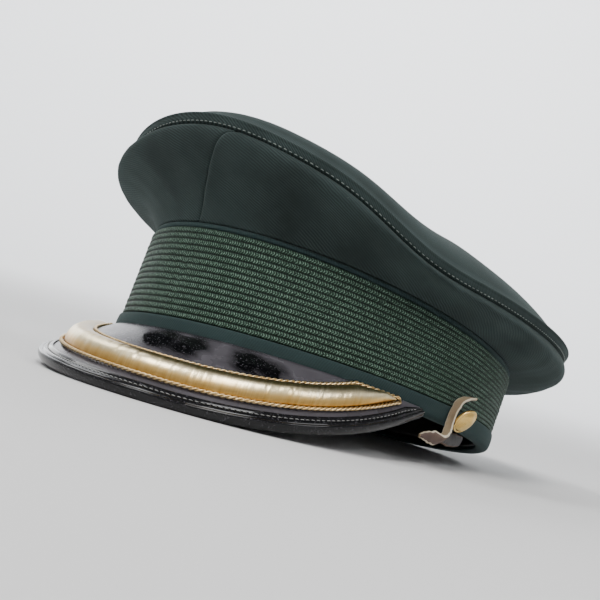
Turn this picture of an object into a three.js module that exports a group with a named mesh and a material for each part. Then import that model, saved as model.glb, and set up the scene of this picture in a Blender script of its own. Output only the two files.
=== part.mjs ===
// An officer's peaked cap, lying by itself on a level surface.
// Millimetres, +Z up, the front towards -Y, the wearer's left towards +X.
// The origin is on the surface, under the middle of the cap.
//
// Every soft piece is a loft: a row of cross-sections round the head. An angle round the head is
// 0 at the front, 90 at the wearer's left and 180 at the back. Points are first worked out in the
// cap's own upright frame, whose height 0 is the middle of the rim, and are then laid down.

import * as THREE from 'three';

// Head opening and band
const HALF_LENGTH = 103;
const HALF_WIDTH = 86;
const BAND_TOP = 44;
const RIM_SLOPE = 9.9;
const RIM_RISE = { at: -58, wide: 28, up: 1.8 };
const STATIONS = 44;

// Layers of the band, as distances out from the face of the braid, and their heights over the rim
const WELT_TALL = 7;
const BRAID_FOOT = 7.3;
const BRAID_CLEAR_OF_TOP = 2.6;
const BRAID_RIBS = 15;
const RIB_DEPTH = 0.9;
const BRAID_BACK = -1.8;
const WALL_OUT = -2.1;
const WALL_IN = -5.2;
const WALL_FOOT = 0.3;
const LIP_OUT = -0.9;
const LIP_TALL = 2.2;
const SWEAT_OUT = -5.7;
const SWEAT_IN = -6.9;
const SWEAT_TALL = 36;

// Crown: the stitched line round its top, and the cloth below and above that line
const CROWN_HALF_WIDTH = 100.1;
const CROWN_HALF_LENGTH = 132.3;
const CROWN_BACK_SHIFT = 4.4;
const CROWN_EGG = 0.045;
const CLOTH = 1.4;
const SEAM_GAP_DEG = 0.1;
const FRONT_SEAM = { footDeg: -2.7, headDeg: 12.8 };

// Height of the stitched line: the mean, waves round the head, and short stretches that rise or sag
const EDGE_MEAN_HEIGHT = 66.3;
const EDGE_WAVES = [
  { waves: 1, cosine: 5.8, sine: -1.1 },
  { waves: 2, cosine: 7.1, sine: -0.4 },
  { waves: 3, cosine: 2.2, sine: 1 },
  { waves: 4, cosine: 0.4, sine: 0.6 },
];
const EDGE_SAGS = [
  { at: 43.9, wide: 14, up: 1.8 },
  { at: 65.8, wide: 16, up: -3.7 },
];

// How the cloth of the crown's side leaves the band and arrives at the stitched line: distances out,
// up and down, with what is added at the front and taken off at the back, and what is added at the sides
const SIDE_LEAVES = { out: 10.7, outFront: -2.9, up: 5.5, upFront: 7.3 };
const SIDE_ARRIVES = { out: 9.1, outSides: 3.6, down: 7.5, downFront: -4 };
const SIDE_STEPS = 7;

// Soft dents and folds in the crown's side: where round the head, how far up from the band (0 to 1),
// how wide in degrees, how tall as a share of the side, and how deep. A depth under 0 swells outwards.
const DENTS = [
  { at: 38, up: 0.35, wide: 10, tall: 0.2, depth: 2.2 },
  { at: 99, up: 0.42, wide: 9, tall: 0.16, depth: 2.6 },
  { at: -65.6, up: 0.37, wide: 40, tall: 0.25, depth: 5.5 },
  { at: -50, up: 0.87, wide: 26, tall: 0.25, depth: -5.1 },
  { at: 128, up: 0.25, wide: 9, tall: 0.2, depth: 2 },
];

// Edge strip of the crown's top over the stitched line: out from the line, and up from it
const EDGE_STRIP = [
  { out: 0.5, up: 0 },
  { out: 1.8, up: 1.6 },
  { out: 2, up: 3.9 },
  { out: 0.8, up: 5.4 },
  { out: -3, up: 6.1 },
];

// The top over that strip: its height in the middle, how slowly it falls from there, and how high
// the cloth puffs up close behind the strip at the front
const CROWN_CENTRE_HEIGHT = 93.9;
const CROWN_DOME = 2.3;
const TOP_PUFF = { high: 5.4, at: 0.88 };
const TOP_RINGS = [0.95, 0.87, 0.72, 0.48, 0.24];

// Peak. It sits round to the wearer's left and hangs steeper there, as it has been bent.
const PEAK_MIDDLE_DEG = 16;
const PEAK_LEFT_DEG = 81;
const PEAK_RIGHT_DEG = -76;
const PEAK_REACH = 51.6;
const PEAK_END_REACH = 2.5;
const PEAK_FULLNESS = { across: 2.08, left: 1.14, right: 1.56 };
const PEAK_SLOPE_DEG = 46.9;
const PEAK_END_SLOPE_DEG = -6.9;
const PEAK_TWIST_DEG = 8.9;
const PEAK_ROOT = { out: 1.25, up: 0.9 };
const PEAK_THICK = 2.2;
const PEAK_BELLY = 1.4;
const PEAK_STATIONS = 38;

// Rolled binding round the peak's edge, in the peak's own slope: along it past the edge, and over it
const BINDING_LEG = 5;
const BINDING_OUTSIDE = [
  { past: -1, over: 1.2 },
  { past: -0.4, over: 2 },
  { past: 1.5, over: 1.7 },
  { past: 3.1, over: -0.9 },
  { past: 1.9, over: -4.3 },
  { past: -1, over: -3.5 },
];
const BINDING_INSIDE = [
  { past: -1, over: 0.35 },
  { past: -0.4, over: 0.35 },
  { past: 0.35, over: 0.35 },
  { past: 0.35, over: -1.1 },
  { past: 0.35, over: -2.55 },
  { past: -1, over: -2.55 },
];

// Padded gold band on the peak, and the gold cord round it
const BULLION_FROM_EDGE = 10.9;
const BULLION_NEARER = { left: 1.9, right: 5 };
const BULLION_WIDE = 15.2;
const BULLION_FROM_ROOT = 2.2;
const BULLION_LEFT_TIP = 0.86;
const BULLION_RIGHT_TIP = -0.8;
const BULLION_SIDE_HIGH = 0.6;
const BULLION_HIGH = 4.4;
const BULLION_FULL_WIDTH = 7;
const BULLION_ROUND = 0.8;
const BULLION_LIES = 0.35;
const CORD_RADIUS = 0.95;
const CORD_SIDES = 5;
const CORD_STEPS = 38;
const CORD_TIP_STEPS = 3;
const CORD_TIP_LONG = 0.018;

// Side buttons: the domed face, and the place and lean of each
const BUTTON_PROFILE = [
  [0, -2.6],
  [1.5, -2.6],
  [1.5, -0.9],
  [5.8, -0.6],
  [6.65, 0.2],
  [6.65, 1.1],
  [5.9, 1.5],
  [4.9, 2.2],
  [2.6, 3.1],
  [0, 3.4],
];
const BUTTON_SIDES = 18;
const LEFT_BUTTON = { place: [92.3, 9.3, 3.4], faces: [0.824, 0.184, -0.535] };
const RIGHT_BUTTON = { place: [-89.6, 9, 5], faces: [-1, 0.08, 0] };

// Torn end of the chin strap at the left button: the middle of the strap, and which way and how far
// its width runs there
const STRAP_THICK = 1.7;
const STRAP_STUB = [
  { at: [90.6, 12.6, 15.2], across: [6.6, 0, 0] },
  { at: [90.6, 8.2, 13.2], across: [6.8, 0, 0] },
  { at: [90.6, 4, 9.6], across: [7, 0, 0] },
  { at: [90.6, 1.9, 4.4], across: [7, 0, 0] },
  { at: [90.6, 1.7, -1.4], across: [7, 0, 0] },
  { at: [90.8, 2, -6], across: [6.8, 0, 1.5] },
  { at: [90.8, 0.6, -9.4], across: [5, 0, 4.4] },
  { at: [90.4, -4.2, -11], across: [1.6, 0, 6.2] },
  { at: [89.6, -9, -11.6], across: [0.3, 0, 6] },
  { at: [89.2, -13.6, -12.4], across: [0, 0, 5] },
];
const STRAP_ROOT = [
  { at: [87.1, 18, -4.8], across: [0, 1.5, 6] },
  { at: [87.6, 11, -6.4], across: [0, 1.2, 7.4] },
  { at: [88, 4.6, -7.4], across: [0, 0.4, 6.4] },
];

// How the cap lies: leaned back on its rim and tipped a little to one side, until the peak's edge
// and the back of the rim rest on the surface. Leather and cloth are pressed flat there.
const LEAN_BACK_DEG = 13;
const LEAN_SIDE_DEG = -4.8;
const REST_LIFT = 15.8;
const REST_SHIFT = { x: 4.6, y: -1.4 };

const COLOURS = {
  crown: 0x2c3b36,
  braid: 0x35524a,
  plainCloth: 0x24423f,
  wall: 0x2a3733,
  patent: 0x14161b,
  sweat: 0x17181c,
  bullion: 0xd8bd7c,
  cord: 0xc9a860,
  button: 0xd9b866,
  strap: 0x5a4a42,
};

const radians = THREE.MathUtils.degToRad;
const vector = (list) => new THREE.Vector3(...list);

// Laying the cap down

const lying = new THREE.Matrix4()
  .makeTranslation(REST_SHIFT.x, REST_SHIFT.y, REST_LIFT)
  .multiply(new THREE.Matrix4().makeRotationY(radians(LEAN_SIDE_DEG)))
  .multiply(new THREE.Matrix4().makeRotationX(radians(-LEAN_BACK_DEG)));

function layDown(point) {
  const laid = point.clone().applyMatrix4(lying);
  laid.z = Math.max(laid.z, 0);
  return laid;
}

// Solids from rows of points

function solid(points, triangles) {
  const laid = points.map(layDown);
  let volume = 0;
  for (const [a, b, c] of triangles) {
    volume += laid[a].dot(new THREE.Vector3().crossVectors(laid[b], laid[c]));
  }
  const outward = volume > 0 ? triangles : triangles.map(([a, b, c]) => [a, c, b]);
  const geometry = new THREE.BufferGeometry();
  geometry.setAttribute('position', new THREE.Float32BufferAttribute(laid.flatMap((p) => p.toArray()), 3));
  geometry.setIndex(outward.flat());
  geometry.computeVertexNormals();
  return geometry;
}

function joinLoops(loops, wraps) {
  const size = loops[0].length;
  const triangles = [];
  const last = wraps ? loops.length : loops.length - 1;
  for (let i = 0; i < last; i += 1) {
    const here = i * size;
    const next = ((i + 1) % loops.length) * size;
    for (let k = 0; k < size; k += 1) {
      const m = (k + 1) % size;
      triangles.push([here + k, here + m, next + m], [here + k, next + m, next + k]);
    }
  }
  return triangles;
}

// A closed ring round the head
function ringSolid(loops) {
  return solid(loops.flat(), joinLoops(loops, true));
}

// A length with two ends. Each section is an outer line and an inner line of as many points.
function lengthSolid(sections) {
  const loops = sections.map(({ outer, inner }) => [...outer, ...[...inner].reverse()]);
  const size = loops[0].length;
  const triangles = joinLoops(loops, false);
  const end = (loops.length - 1) * size;
  for (let k = 0; k < size / 2 - 1; k += 1) {
    const m = size - 1 - k;
    triangles.push([k, m, k + 1], [k + 1, m, m - 1]);
    triangles.push([end + k, end + k + 1, end + m], [end + k + 1, end + m - 1, end + m]);
  }
  return solid(loops.flat(), triangles);
}

// A disc with a turned-down edge: each section runs from the middle of the top to the middle below
function discSolid(sections, topMiddle, lowMiddle) {
  const size = sections[0].length;
  const count = sections.length;
  const points = [...sections.flat(), topMiddle, lowMiddle];
  const top = count * size;
  const low = top + 1;
  const triangles = [];
  for (let i = 0; i < count; i += 1) {
    const here = i * size;
    const next = ((i + 1) % count) * size;
    triangles.push([top, here, next], [low, next + size - 1, here + size - 1]);
    for (let k = 0; k < size - 1; k += 1) {
      triangles.push([here + k, here + k + 1, next + k + 1], [here + k, next + k + 1, next + k]);
    }
  }
  return solid(points, triangles);
}

function piece(name, geometry, color, roughness, metalness = 0) {
  const mesh = new THREE.Mesh(geometry, new THREE.MeshStandardMaterial({ color, roughness, metalness }));
  mesh.name = name;
  return mesh;
}

// Shapes round the head

const angles = Array.from({ length: STATIONS }, (_, i) => (i * 2 * Math.PI) / STATIONS);

// The angle in degrees from -180 to 180
function turnedDeg(angle) {
  return THREE.MathUtils.radToDeg(Math.atan2(Math.sin(angle), Math.cos(angle)));
}

// The rim slopes down towards the front, and rises a little over a short stretch
function rimHeight(angle) {
  const across = (turnedDeg(angle) - RIM_RISE.at) / RIM_RISE.wide;
  return -RIM_SLOPE * Math.cos(angle) + RIM_RISE.up * Math.exp(-across * across);
}

function outwards(angle) {
  return new THREE.Vector3(Math.sin(angle) / HALF_WIDTH, -Math.cos(angle) / HALF_LENGTH, 0).normalize();
}

function onHead(angle, out, height) {
  const point = new THREE.Vector3(HALF_WIDTH * Math.sin(angle), -HALF_LENGTH * Math.cos(angle), height);
  return point.addScaledVector(outwards(angle), out);
}

// A ring whose section is a loop of distances out and heights over the rim
function bandRing(loopAt) {
  return ringSolid(angles.map((angle) => loopAt(angle).map(([out, height]) => onHead(angle, out, height))));
}

function makeBand() {
  return bandRing((angle) => {
    const foot = rimHeight(angle) + WALL_FOOT;
    return [
      [WALL_OUT, foot],
      [WALL_OUT, BAND_TOP - LIP_TALL - 0.2],
      [LIP_OUT, BAND_TOP - LIP_TALL],
      [LIP_OUT, BAND_TOP],
      [WALL_IN, BAND_TOP],
      [WALL_IN, foot],
    ];
  });
}

function makeBraid() {
  return bandRing((angle) => {
    const foot = rimHeight(angle) + BRAID_FOOT;
    const tall = BAND_TOP - BRAID_CLEAR_OF_TOP - foot;
    const loop = [[-RIB_DEPTH, foot]];
    for (let rib = 0; rib < BRAID_RIBS; rib += 1) {
      loop.push([0, foot + (tall * (rib + 0.5)) / BRAID_RIBS]);
      loop.push([-RIB_DEPTH, foot + (tall * (rib + 1)) / BRAID_RIBS]);
    }
    loop.push([BRAID_BACK, foot + tall], [BRAID_BACK, foot]);
    return loop;
  });
}

// The welt covers the foot of the wall and is rolled under it
function makeWelt() {
  return bandRing((angle) => {
    const rim = rimHeight(angle);
    return [
      [0.4, rim + WELT_TALL],
      [0.9, rim + 4.4],
      [0.9, rim + 1.2],
      [0.4, rim - 1],
      [-2.5, rim - 2],
      [-5.4, rim - 1.6],
      [-5.4, rim],
      [-1.8, rim],
      [-1.8, rim + WELT_TALL],
    ];
  });
}

function makeSweatband() {
  return bandRing((angle) => {
    const rim = rimHeight(angle);
    return [
      [SWEAT_OUT, rim + WALL_FOOT],
      [SWEAT_OUT, rim + SWEAT_TALL],
      [SWEAT_IN, rim + SWEAT_TALL],
      [SWEAT_IN, rim + 0.9],
    ];
  });
}

// Crown

function stitchedLine(angle) {
  const turned = turnedDeg(angle);
  const waves = EDGE_WAVES.reduce((sum, { waves: n, cosine, sine }) =>
    sum + cosine * Math.cos(n * angle) + sine * Math.sin(n * angle), 0);
  const sags = EDGE_SAGS.reduce((sum, { at, wide, up }) =>
    sum + up * Math.exp(-(((turned - at) / wide) ** 2)), 0);
  return new THREE.Vector3(
    CROWN_HALF_WIDTH * Math.sin(angle) * (1 + CROWN_EGG * Math.cos(angle)),
    CROWN_BACK_SHIFT - CROWN_HALF_LENGTH * Math.cos(angle),
    EDGE_MEAN_HEIGHT + waves + sags,
  );
}

function dentDepth(angle, up) {
  const turned = turnedDeg(angle);
  return DENTS.reduce((sum, dent) => {
    const across = (turned - dent.at) / dent.wide;
    const along = (up - dent.up) / dent.tall;
    return sum + dent.depth * Math.exp(-across * across - along * along);
  }, 0);
}

// A point of the cloth's outer face, up from the band (0) to the stitched line (1)
function onSide(angle, up) {
  const front = Math.cos(angle);
  const sides = Math.sin(angle) ** 2;
  const out = outwards(angle);
  const foot = onHead(angle, LIP_OUT - 0.3, BAND_TOP + 0.3);
  const head = stitchedLine(angle);
  head.z -= 0.4;
  const leaves = foot.clone().addScaledVector(out, SIDE_LEAVES.out + SIDE_LEAVES.outFront * front);
  leaves.z += SIDE_LEAVES.up + SIDE_LEAVES.upFront * front;
  const arrives = head.clone().addScaledVector(out, SIDE_ARRIVES.out + SIDE_ARRIVES.outSides * sides);
  arrives.z -= SIDE_ARRIVES.down + SIDE_ARRIVES.downFront * front;
  return new THREE.CubicBezierCurve3(foot, leaves, arrives, head)
    .getPoint(up)
    .addScaledVector(out, -dentDepth(angle, up));
}

// A line moved to its inner side by a thickness, in the upright plane at this angle
function innerLine(line, angle, thickness) {
  const along = new THREE.Vector3(0, 0, 1).cross(outwards(angle));
  return line.map((point, i) => {
    const before = line[Math.max(i - 1, 0)];
    const after = line[Math.min(i + 1, line.length - 1)];
    const inward = after.clone().sub(before).cross(along).normalize();
    return point.clone().addScaledVector(inward, thickness);
  });
}

// The front seam slants from its foot to its head, so each end of a side is a rule from how far up
const frontSeam = (up) => THREE.MathUtils.lerp(FRONT_SEAM.footDeg, FRONT_SEAM.headDeg, up);

function makeCrownSide(fromDegAt, toDegAt) {
  const count = STATIONS / 2;
  const sections = [];
  for (let i = 0; i <= count; i += 1) {
    const clear = i === 0 ? SEAM_GAP_DEG : i === count ? -SEAM_GAP_DEG : 0;
    const angleAt = (up) => radians(THREE.MathUtils.lerp(fromDegAt(up), toDegAt(up), i / count) + clear);
    const outer = Array.from({ length: SIDE_STEPS + 1 }, (_, k) =>
      onSide(angleAt(k / SIDE_STEPS), k / SIDE_STEPS));
    sections.push({ outer, inner: innerLine(outer, angleAt(0.5), CLOTH) });
  }
  return lengthSolid(sections);
}

function crownTopPoint(angle, share) {
  const line = stitchedLine(angle);
  const edge = line.clone().addScaledVector(outwards(angle), EDGE_STRIP.at(-1).out);
  const edgeHeight = line.z + EDGE_STRIP.at(-1).up;
  const behind = (1 - share) / (1 - TOP_PUFF.at);
  const puff = TOP_PUFF.high * ((1 + Math.cos(angle)) / 2) * behind * Math.exp(1 - behind);
  return new THREE.Vector3(
    edge.x * share,
    THREE.MathUtils.lerp(CROWN_BACK_SHIFT, edge.y, share),
    THREE.MathUtils.lerp(CROWN_CENTRE_HEIGHT, edgeHeight, share ** CROWN_DOME) + puff,
  );
}

function makeCrownTip() {
  const sections = angles.map((angle) => {
    const strip = EDGE_STRIP.map(({ out, up }) => {
      const point = stitchedLine(angle).addScaledVector(outwards(angle), out);
      point.z += up;
      return point;
    });
    const top = TOP_RINGS.map((share) => crownTopPoint(angle, share));
    const outer = [...strip, ...top];
    const inner = innerLine(outer, angle, CLOTH);
    return [...outer.reverse(), ...inner];
  });
  const topMiddle = crownTopPoint(0, 0);
  const lowMiddle = topMiddle.clone();
  lowMiddle.z -= CLOTH;
  return discSolid(sections, topMiddle, lowMiddle);
}

// Peak, worked out along its length from -1 at the wearer's right end to 1 at the left end

const steps = (count, from, to) =>
  Array.from({ length: count + 1 }, (_, i) => THREE.MathUtils.lerp(from, to, i / count));

function peakAngle(along) {
  const half = along > 0 ? PEAK_LEFT_DEG - PEAK_MIDDLE_DEG : PEAK_MIDDLE_DEG - PEAK_RIGHT_DEG;
  return radians(PEAK_MIDDLE_DEG + along * half);
}

function peakReach(along) {
  const { across, left, right } = PEAK_FULLNESS;
  const fullness = Math.max(0, 1 - Math.abs(along) ** across) ** (along > 0 ? left : right);
  return PEAK_END_REACH + (PEAK_REACH - PEAK_END_REACH) * fullness;
}

function peakSlope(along) {
  return radians(PEAK_SLOPE_DEG + PEAK_END_SLOPE_DEG * along * along + PEAK_TWIST_DEG * along);
}

// A point this far down the peak's slope from its root, and this far over its upper face
function onPeak(along, down, over) {
  const angle = peakAngle(along);
  const slope = peakSlope(along);
  const reach = peakReach(along);
  const share = THREE.MathUtils.clamp(down / reach, 0, 1);
  const belly = PEAK_BELLY * Math.sin(Math.PI * share) * (reach / PEAK_REACH);
  const lift = over + belly;
  const out = PEAK_ROOT.out + down * Math.cos(slope) + lift * Math.sin(slope);
  const drop = down * Math.sin(slope) - lift * Math.cos(slope);
  return onHead(angle, out, rimHeight(angle) + PEAK_ROOT.up - drop);
}

// The root is cut upright, so that the peak stands against the welt
function makePeak() {
  const shares = [0, 0.25, 0.5, 0.75, 1];
  return lengthSolid(steps(PEAK_STATIONS, -1, 1).map((along) => {
    const reach = peakReach(along);
    const cut = Math.min(PEAK_THICK * Math.tan(peakSlope(along)), reach - 0.3);
    return {
      outer: shares.map((share) => onPeak(along, share * reach, 0)),
      inner: shares.map((share) => onPeak(along, THREE.MathUtils.lerp(cut, reach, share), -PEAK_THICK)),
    };
  }));
}

// Negative distances past the edge are shares of the binding's leg, which shortens towards the ends
function makeBinding() {
  return lengthSolid(steps(PEAK_STATIONS, -1, 1).map((along) => {
    const reach = peakReach(along);
    const leg = Math.min(BINDING_LEG, reach / 2);
    const place = ({ past, over }) => onPeak(along, reach + (past < 0 ? past * leg : past), over);
    return { outer: BINDING_OUTSIDE.map(place), inner: BINDING_INSIDE.map(place) };
  }));
}

function bullionSpan(along) {
  const nearer = (along > 0 ? BULLION_NEARER.left : BULLION_NEARER.right) * along ** 4;
  const outer = peakReach(along) - BULLION_FROM_EDGE + nearer;
  const inner = Math.max(BULLION_FROM_ROOT, outer - BULLION_WIDE);
  return { inner, outer };
}

// The narrower the band is, the flatter its padding lies
function makeBullionBand() {
  const shares = [0, 0.2, 0.5, 0.8, 1];
  return lengthSolid(steps(PEAK_STATIONS, BULLION_RIGHT_TIP, BULLION_LEFT_TIP).map((along) => {
    const { inner, outer } = bullionSpan(along);
    const high = BULLION_HIGH * Math.min(1, (outer - inner) / BULLION_FULL_WIDTH);
    const down = (share) => THREE.MathUtils.lerp(inner, outer, share);
    const over = (share) => BULLION_SIDE_HIGH + high * Math.sin(Math.PI * share) ** BULLION_ROUND;
    return {
      outer: shares.map((share) => onPeak(along, down(share), over(share))),
      inner: shares.map((share) => onPeak(along, down(share), BULLION_LIES)),
    };
  }));
}

// The cord runs down the outer edge of the gold band, round its tip and back along the inner edge
function makeBullionCord() {
  const clear = CORD_RADIUS + 0.35;
  const over = CORD_RADIUS + BULLION_LIES;
  const outerEdge = steps(CORD_STEPS, BULLION_RIGHT_TIP, BULLION_LEFT_TIP).map((along) =>
    onPeak(along, bullionSpan(along).outer + clear, over));
  const innerEdge = steps(CORD_STEPS, BULLION_LEFT_TIP, BULLION_RIGHT_TIP).map((along) =>
    onPeak(along, bullionSpan(along).inner - clear, over));
  const roundTip = (end) => {
    const side = Math.sign(end);
    const { inner, outer } = bullionSpan(end);
    const middle = (inner + outer) / 2;
    const half = (outer - inner) / 2 + clear;
    return Array.from({ length: CORD_TIP_STEPS }, (_, i) => {
      const turn = (Math.PI * (i + 1)) / (CORD_TIP_STEPS + 1);
      const along = end + side * CORD_TIP_LONG * Math.sin(turn);
      return onPeak(along, middle + side * half * Math.cos(turn), over);
    });
  };
  const path = [...outerEdge, ...roundTip(BULLION_LEFT_TIP), ...innerEdge, ...roundTip(BULLION_RIGHT_TIP)];
  const middle = path.reduce((sum, point) => sum.add(point), new THREE.Vector3()).divideScalar(path.length);
  const upwards = new THREE.Vector3(0, -0.6, 0.8);
  return ringSolid(path.map((point, i) => {
    const before = path[(i + path.length - 1) % path.length];
    const after = path[(i + 1) % path.length];
    const forwards = after.clone().sub(before).normalize();
    const sideways = forwards.clone().cross(upwards).normalize();
    const rising = sideways.clone().cross(forwards);
    return Array.from({ length: CORD_SIDES }, (_, k) => {
      const turn = (k * 2 * Math.PI) / CORD_SIDES;
      return point.clone()
        .addScaledVector(sideways, CORD_RADIUS * Math.cos(turn))
        .addScaledVector(rising, CORD_RADIUS * Math.sin(turn));
    });
  }));
}

// Buttons and strap

function makeButton(name, { place, faces }) {
  const profile = BUTTON_PROFILE.map(([radius, height]) => new THREE.Vector2(radius, height));
  const button = piece(name, new THREE.LatheGeometry(profile, BUTTON_SIDES), COLOURS.button, 0.3, 1);
  button.position.copy(vector(place));
  button.quaternion.setFromUnitVectors(new THREE.Vector3(0, 1, 0), vector(faces).normalize());
  return button;
}

function makeStrap(table) {
  const sections = table.map(({ at, across }, i) => {
    const before = vector(table[Math.max(i - 1, 0)].at);
    const after = vector(table[Math.min(i + 1, table.length - 1)].at);
    const half = vector(across).multiplyScalar(0.5);
    const through = after.sub(before).cross(half).normalize().multiplyScalar(STRAP_THICK / 2);
    const middle = vector(at);
    const corner = (a, b) => middle.clone().addScaledVector(half, a).addScaledVector(through, b);
    return { outer: [corner(-1, 1), corner(1, 1)], inner: [corner(-1, -1), corner(1, -1)] };
  });
  return lengthSolid(sections);
}

const cap = new THREE.Group();
cap.add(
  piece('crown_tip', makeCrownTip(), COLOURS.crown, 0.9),
  piece('crown_side_left', makeCrownSide(frontSeam, () => 180), COLOURS.crown, 0.9),
  piece('crown_side_right', makeCrownSide(() => -180, frontSeam), COLOURS.crown, 0.9),
  piece('band', makeBand(), COLOURS.wall, 0.9),
  piece('braid_band', makeBraid(), COLOURS.braid, 0.85),
  piece('band_welt', makeWelt(), COLOURS.plainCloth, 0.9),
  piece('sweatband', makeSweatband(), COLOURS.sweat, 0.35),
  piece('peak', makePeak(), COLOURS.patent, 0.12),
  piece('peak_binding', makeBinding(), COLOURS.patent, 0.18),
  piece('bullion_band', makeBullionBand(), COLOURS.bullion, 0.35, 0.8),
  piece('bullion_cord', makeBullionCord(), COLOURS.cord, 0.4, 0.8),
  piece('strap_stub', makeStrap(STRAP_STUB), COLOURS.strap, 0.6),
  piece('strap_root', makeStrap(STRAP_ROOT), COLOURS.strap, 0.6),
);

// The buttons stand in the upright frame, so their group is laid down as a whole
const buttons = new THREE.Group();
buttons.add(makeButton('button_left', LEFT_BUTTON), makeButton('button_right', RIGHT_BUTTON));
buttons.applyMatrix4(lying);
cap.add(buttons);

export default cap;
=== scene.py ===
# %% [markdown]
# # An officer's peaked cap
#
# The cap is a soft thing built on stiff ones. A canvas band holds the head's oval, a hard leather peak
# hangs from its front, and the cloth crown is stretched over a wire so that it flares and then droops.
# Every part follows the same oval, so this scene works in one frame: an angle round the head, a
# distance out from the braid, and a height over the rim. Each cell below builds one part of the real
# cap that way, as a surface worked out with arrays, and gives it the finish of the real material.

import math

import bpy
import numpy as np
from mathutils import Matrix


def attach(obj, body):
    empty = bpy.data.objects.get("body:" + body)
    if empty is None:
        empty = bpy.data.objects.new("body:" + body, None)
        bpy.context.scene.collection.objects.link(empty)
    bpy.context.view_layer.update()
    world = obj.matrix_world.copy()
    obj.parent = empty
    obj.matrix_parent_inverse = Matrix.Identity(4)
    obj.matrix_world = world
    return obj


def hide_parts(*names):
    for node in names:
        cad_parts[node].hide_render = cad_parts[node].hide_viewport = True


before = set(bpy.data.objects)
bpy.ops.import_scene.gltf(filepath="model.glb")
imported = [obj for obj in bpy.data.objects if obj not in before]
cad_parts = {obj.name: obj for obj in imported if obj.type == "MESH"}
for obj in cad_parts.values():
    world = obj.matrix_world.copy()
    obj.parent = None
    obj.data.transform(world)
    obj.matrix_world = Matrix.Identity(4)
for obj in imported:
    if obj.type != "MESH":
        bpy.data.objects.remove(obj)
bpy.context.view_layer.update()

# %% [markdown]
# ## Lay the cap down
#
# The shapes are easiest to write upright, in millimetres, with the middle of the rim at height 0. The
# real cap lies by itself on its peak and on the back of its band, so one turn and one move bring every
# point there. Where leather and cloth would pass the surface, they are pressed flat on it.

# %% Upright millimetres to the lying cap in metres
MM = 0.001
LEAN_BACK = math.radians(13)
LEAN_SIDE = math.radians(-4.8)
REST_PLACE = np.array([4.6, -1.4, 15.8])


def turning(axis, angle):
    """The matrix that turns by an angle about x (0), y (1) or z (2), by the right-hand rule."""
    a, b = [(1, 2), (2, 0), (0, 1)][axis]
    matrix = np.eye(3)
    matrix[a, a] = matrix[b, b] = math.cos(angle)
    matrix[b, a] = math.sin(angle)
    matrix[a, b] = -math.sin(angle)
    return matrix


LYING = turning(1, LEAN_SIDE) @ turning(0, -LEAN_BACK)


def lay_down(points):
    """Turned by LYING, moved by REST_PLACE, held at or over the surface, and taken to metres."""
    laid = np.asarray(points) @ LYING.T + REST_PLACE
    laid[..., 2] = np.maximum(laid[..., 2], 0)
    return laid * MM


# %% [markdown]
# ## The camera first
#
# The photo looks up a little at the cap from its left front, through a long lens, and the picture is
# turned so that the peak runs downhill. The camera keeps that place to the cap, which puts it close
# over the surface that the cap now lies on.

# %% Place the camera by the photo's view of the cap
PICTURE = 600
FOCAL = 2051
SENSOR = 36
LOOKS_FROM_DEG = 43
LOOKS_UP_DEG = -10.05
FAR = 1000
AIM_RIGHT = -17.1
AIM_UP = 41.2
ROLL_DEG = 20.58


def unit(vector):
    """The vector divided by its length, along the last axis."""
    vector = np.asarray(vector, float)
    return vector / np.linalg.norm(vector, axis=-1, keepdims=True)


def camera_axes():
    """Where the camera is and its right, up and back directions, in the upright frame. It looks at a
    point beside the middle of the rim, and is then rolled about its line of sight."""
    turn, rise, roll = (math.radians(a) for a in (LOOKS_FROM_DEG, LOOKS_UP_DEG, ROLL_DEG))
    outward = np.array([math.sin(turn) * math.cos(rise), -math.cos(turn) * math.cos(rise), math.sin(rise)])
    right = np.array([math.cos(turn), math.sin(turn), 0.0])
    up = np.cross(outward, right)
    place = outward * FAR
    back = unit(place - (AIM_RIGHT * right + AIM_UP * up))
    level = unit(np.cross([0, 0, 1], back))
    over = np.cross(back, level)
    side = level * math.cos(roll) + over * math.sin(roll)
    top = over * math.cos(roll) - level * math.sin(roll)
    return place, side, top, back


def make_camera():
    """The upright camera's place and axes, turned and moved as the cap is."""
    place, side, top, back = camera_axes()
    data = bpy.data.cameras.new("camera")
    data.sensor_width = SENSOR
    data.lens = SENSOR * FOCAL / PICTURE
    data.clip_end = 50
    camera = bpy.data.objects.new("camera", data)
    matrix = np.eye(4)
    matrix[:3, :3] = LYING @ np.stack([side, top, back], axis=1)
    matrix[:3, 3] = (LYING @ place + REST_PLACE) * MM
    camera.matrix_world = Matrix(matrix.tolist())
    bpy.context.scene.collection.objects.link(camera)
    bpy.context.scene.camera = camera
    print("camera height over the surface, m", round(float(matrix[2, 3]), 3))


make_camera()

# %% [markdown]
# ## A surface from a grid
#
# Nearly every piece is a grid of points: one way runs round the head or along the peak, the other way
# runs round the piece's cross-section. Writing the grid as whole arrays keeps each piece to a formula.
# Every corner also gets a place on the flat cloth, so that weave and ribs follow the surface as they do
# on the real cap. It is in millimetres, but across the braid it counts ribs, and across the gold band it
# is a share of the width.

# %% Turn a grid of points into a closed mesh


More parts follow.
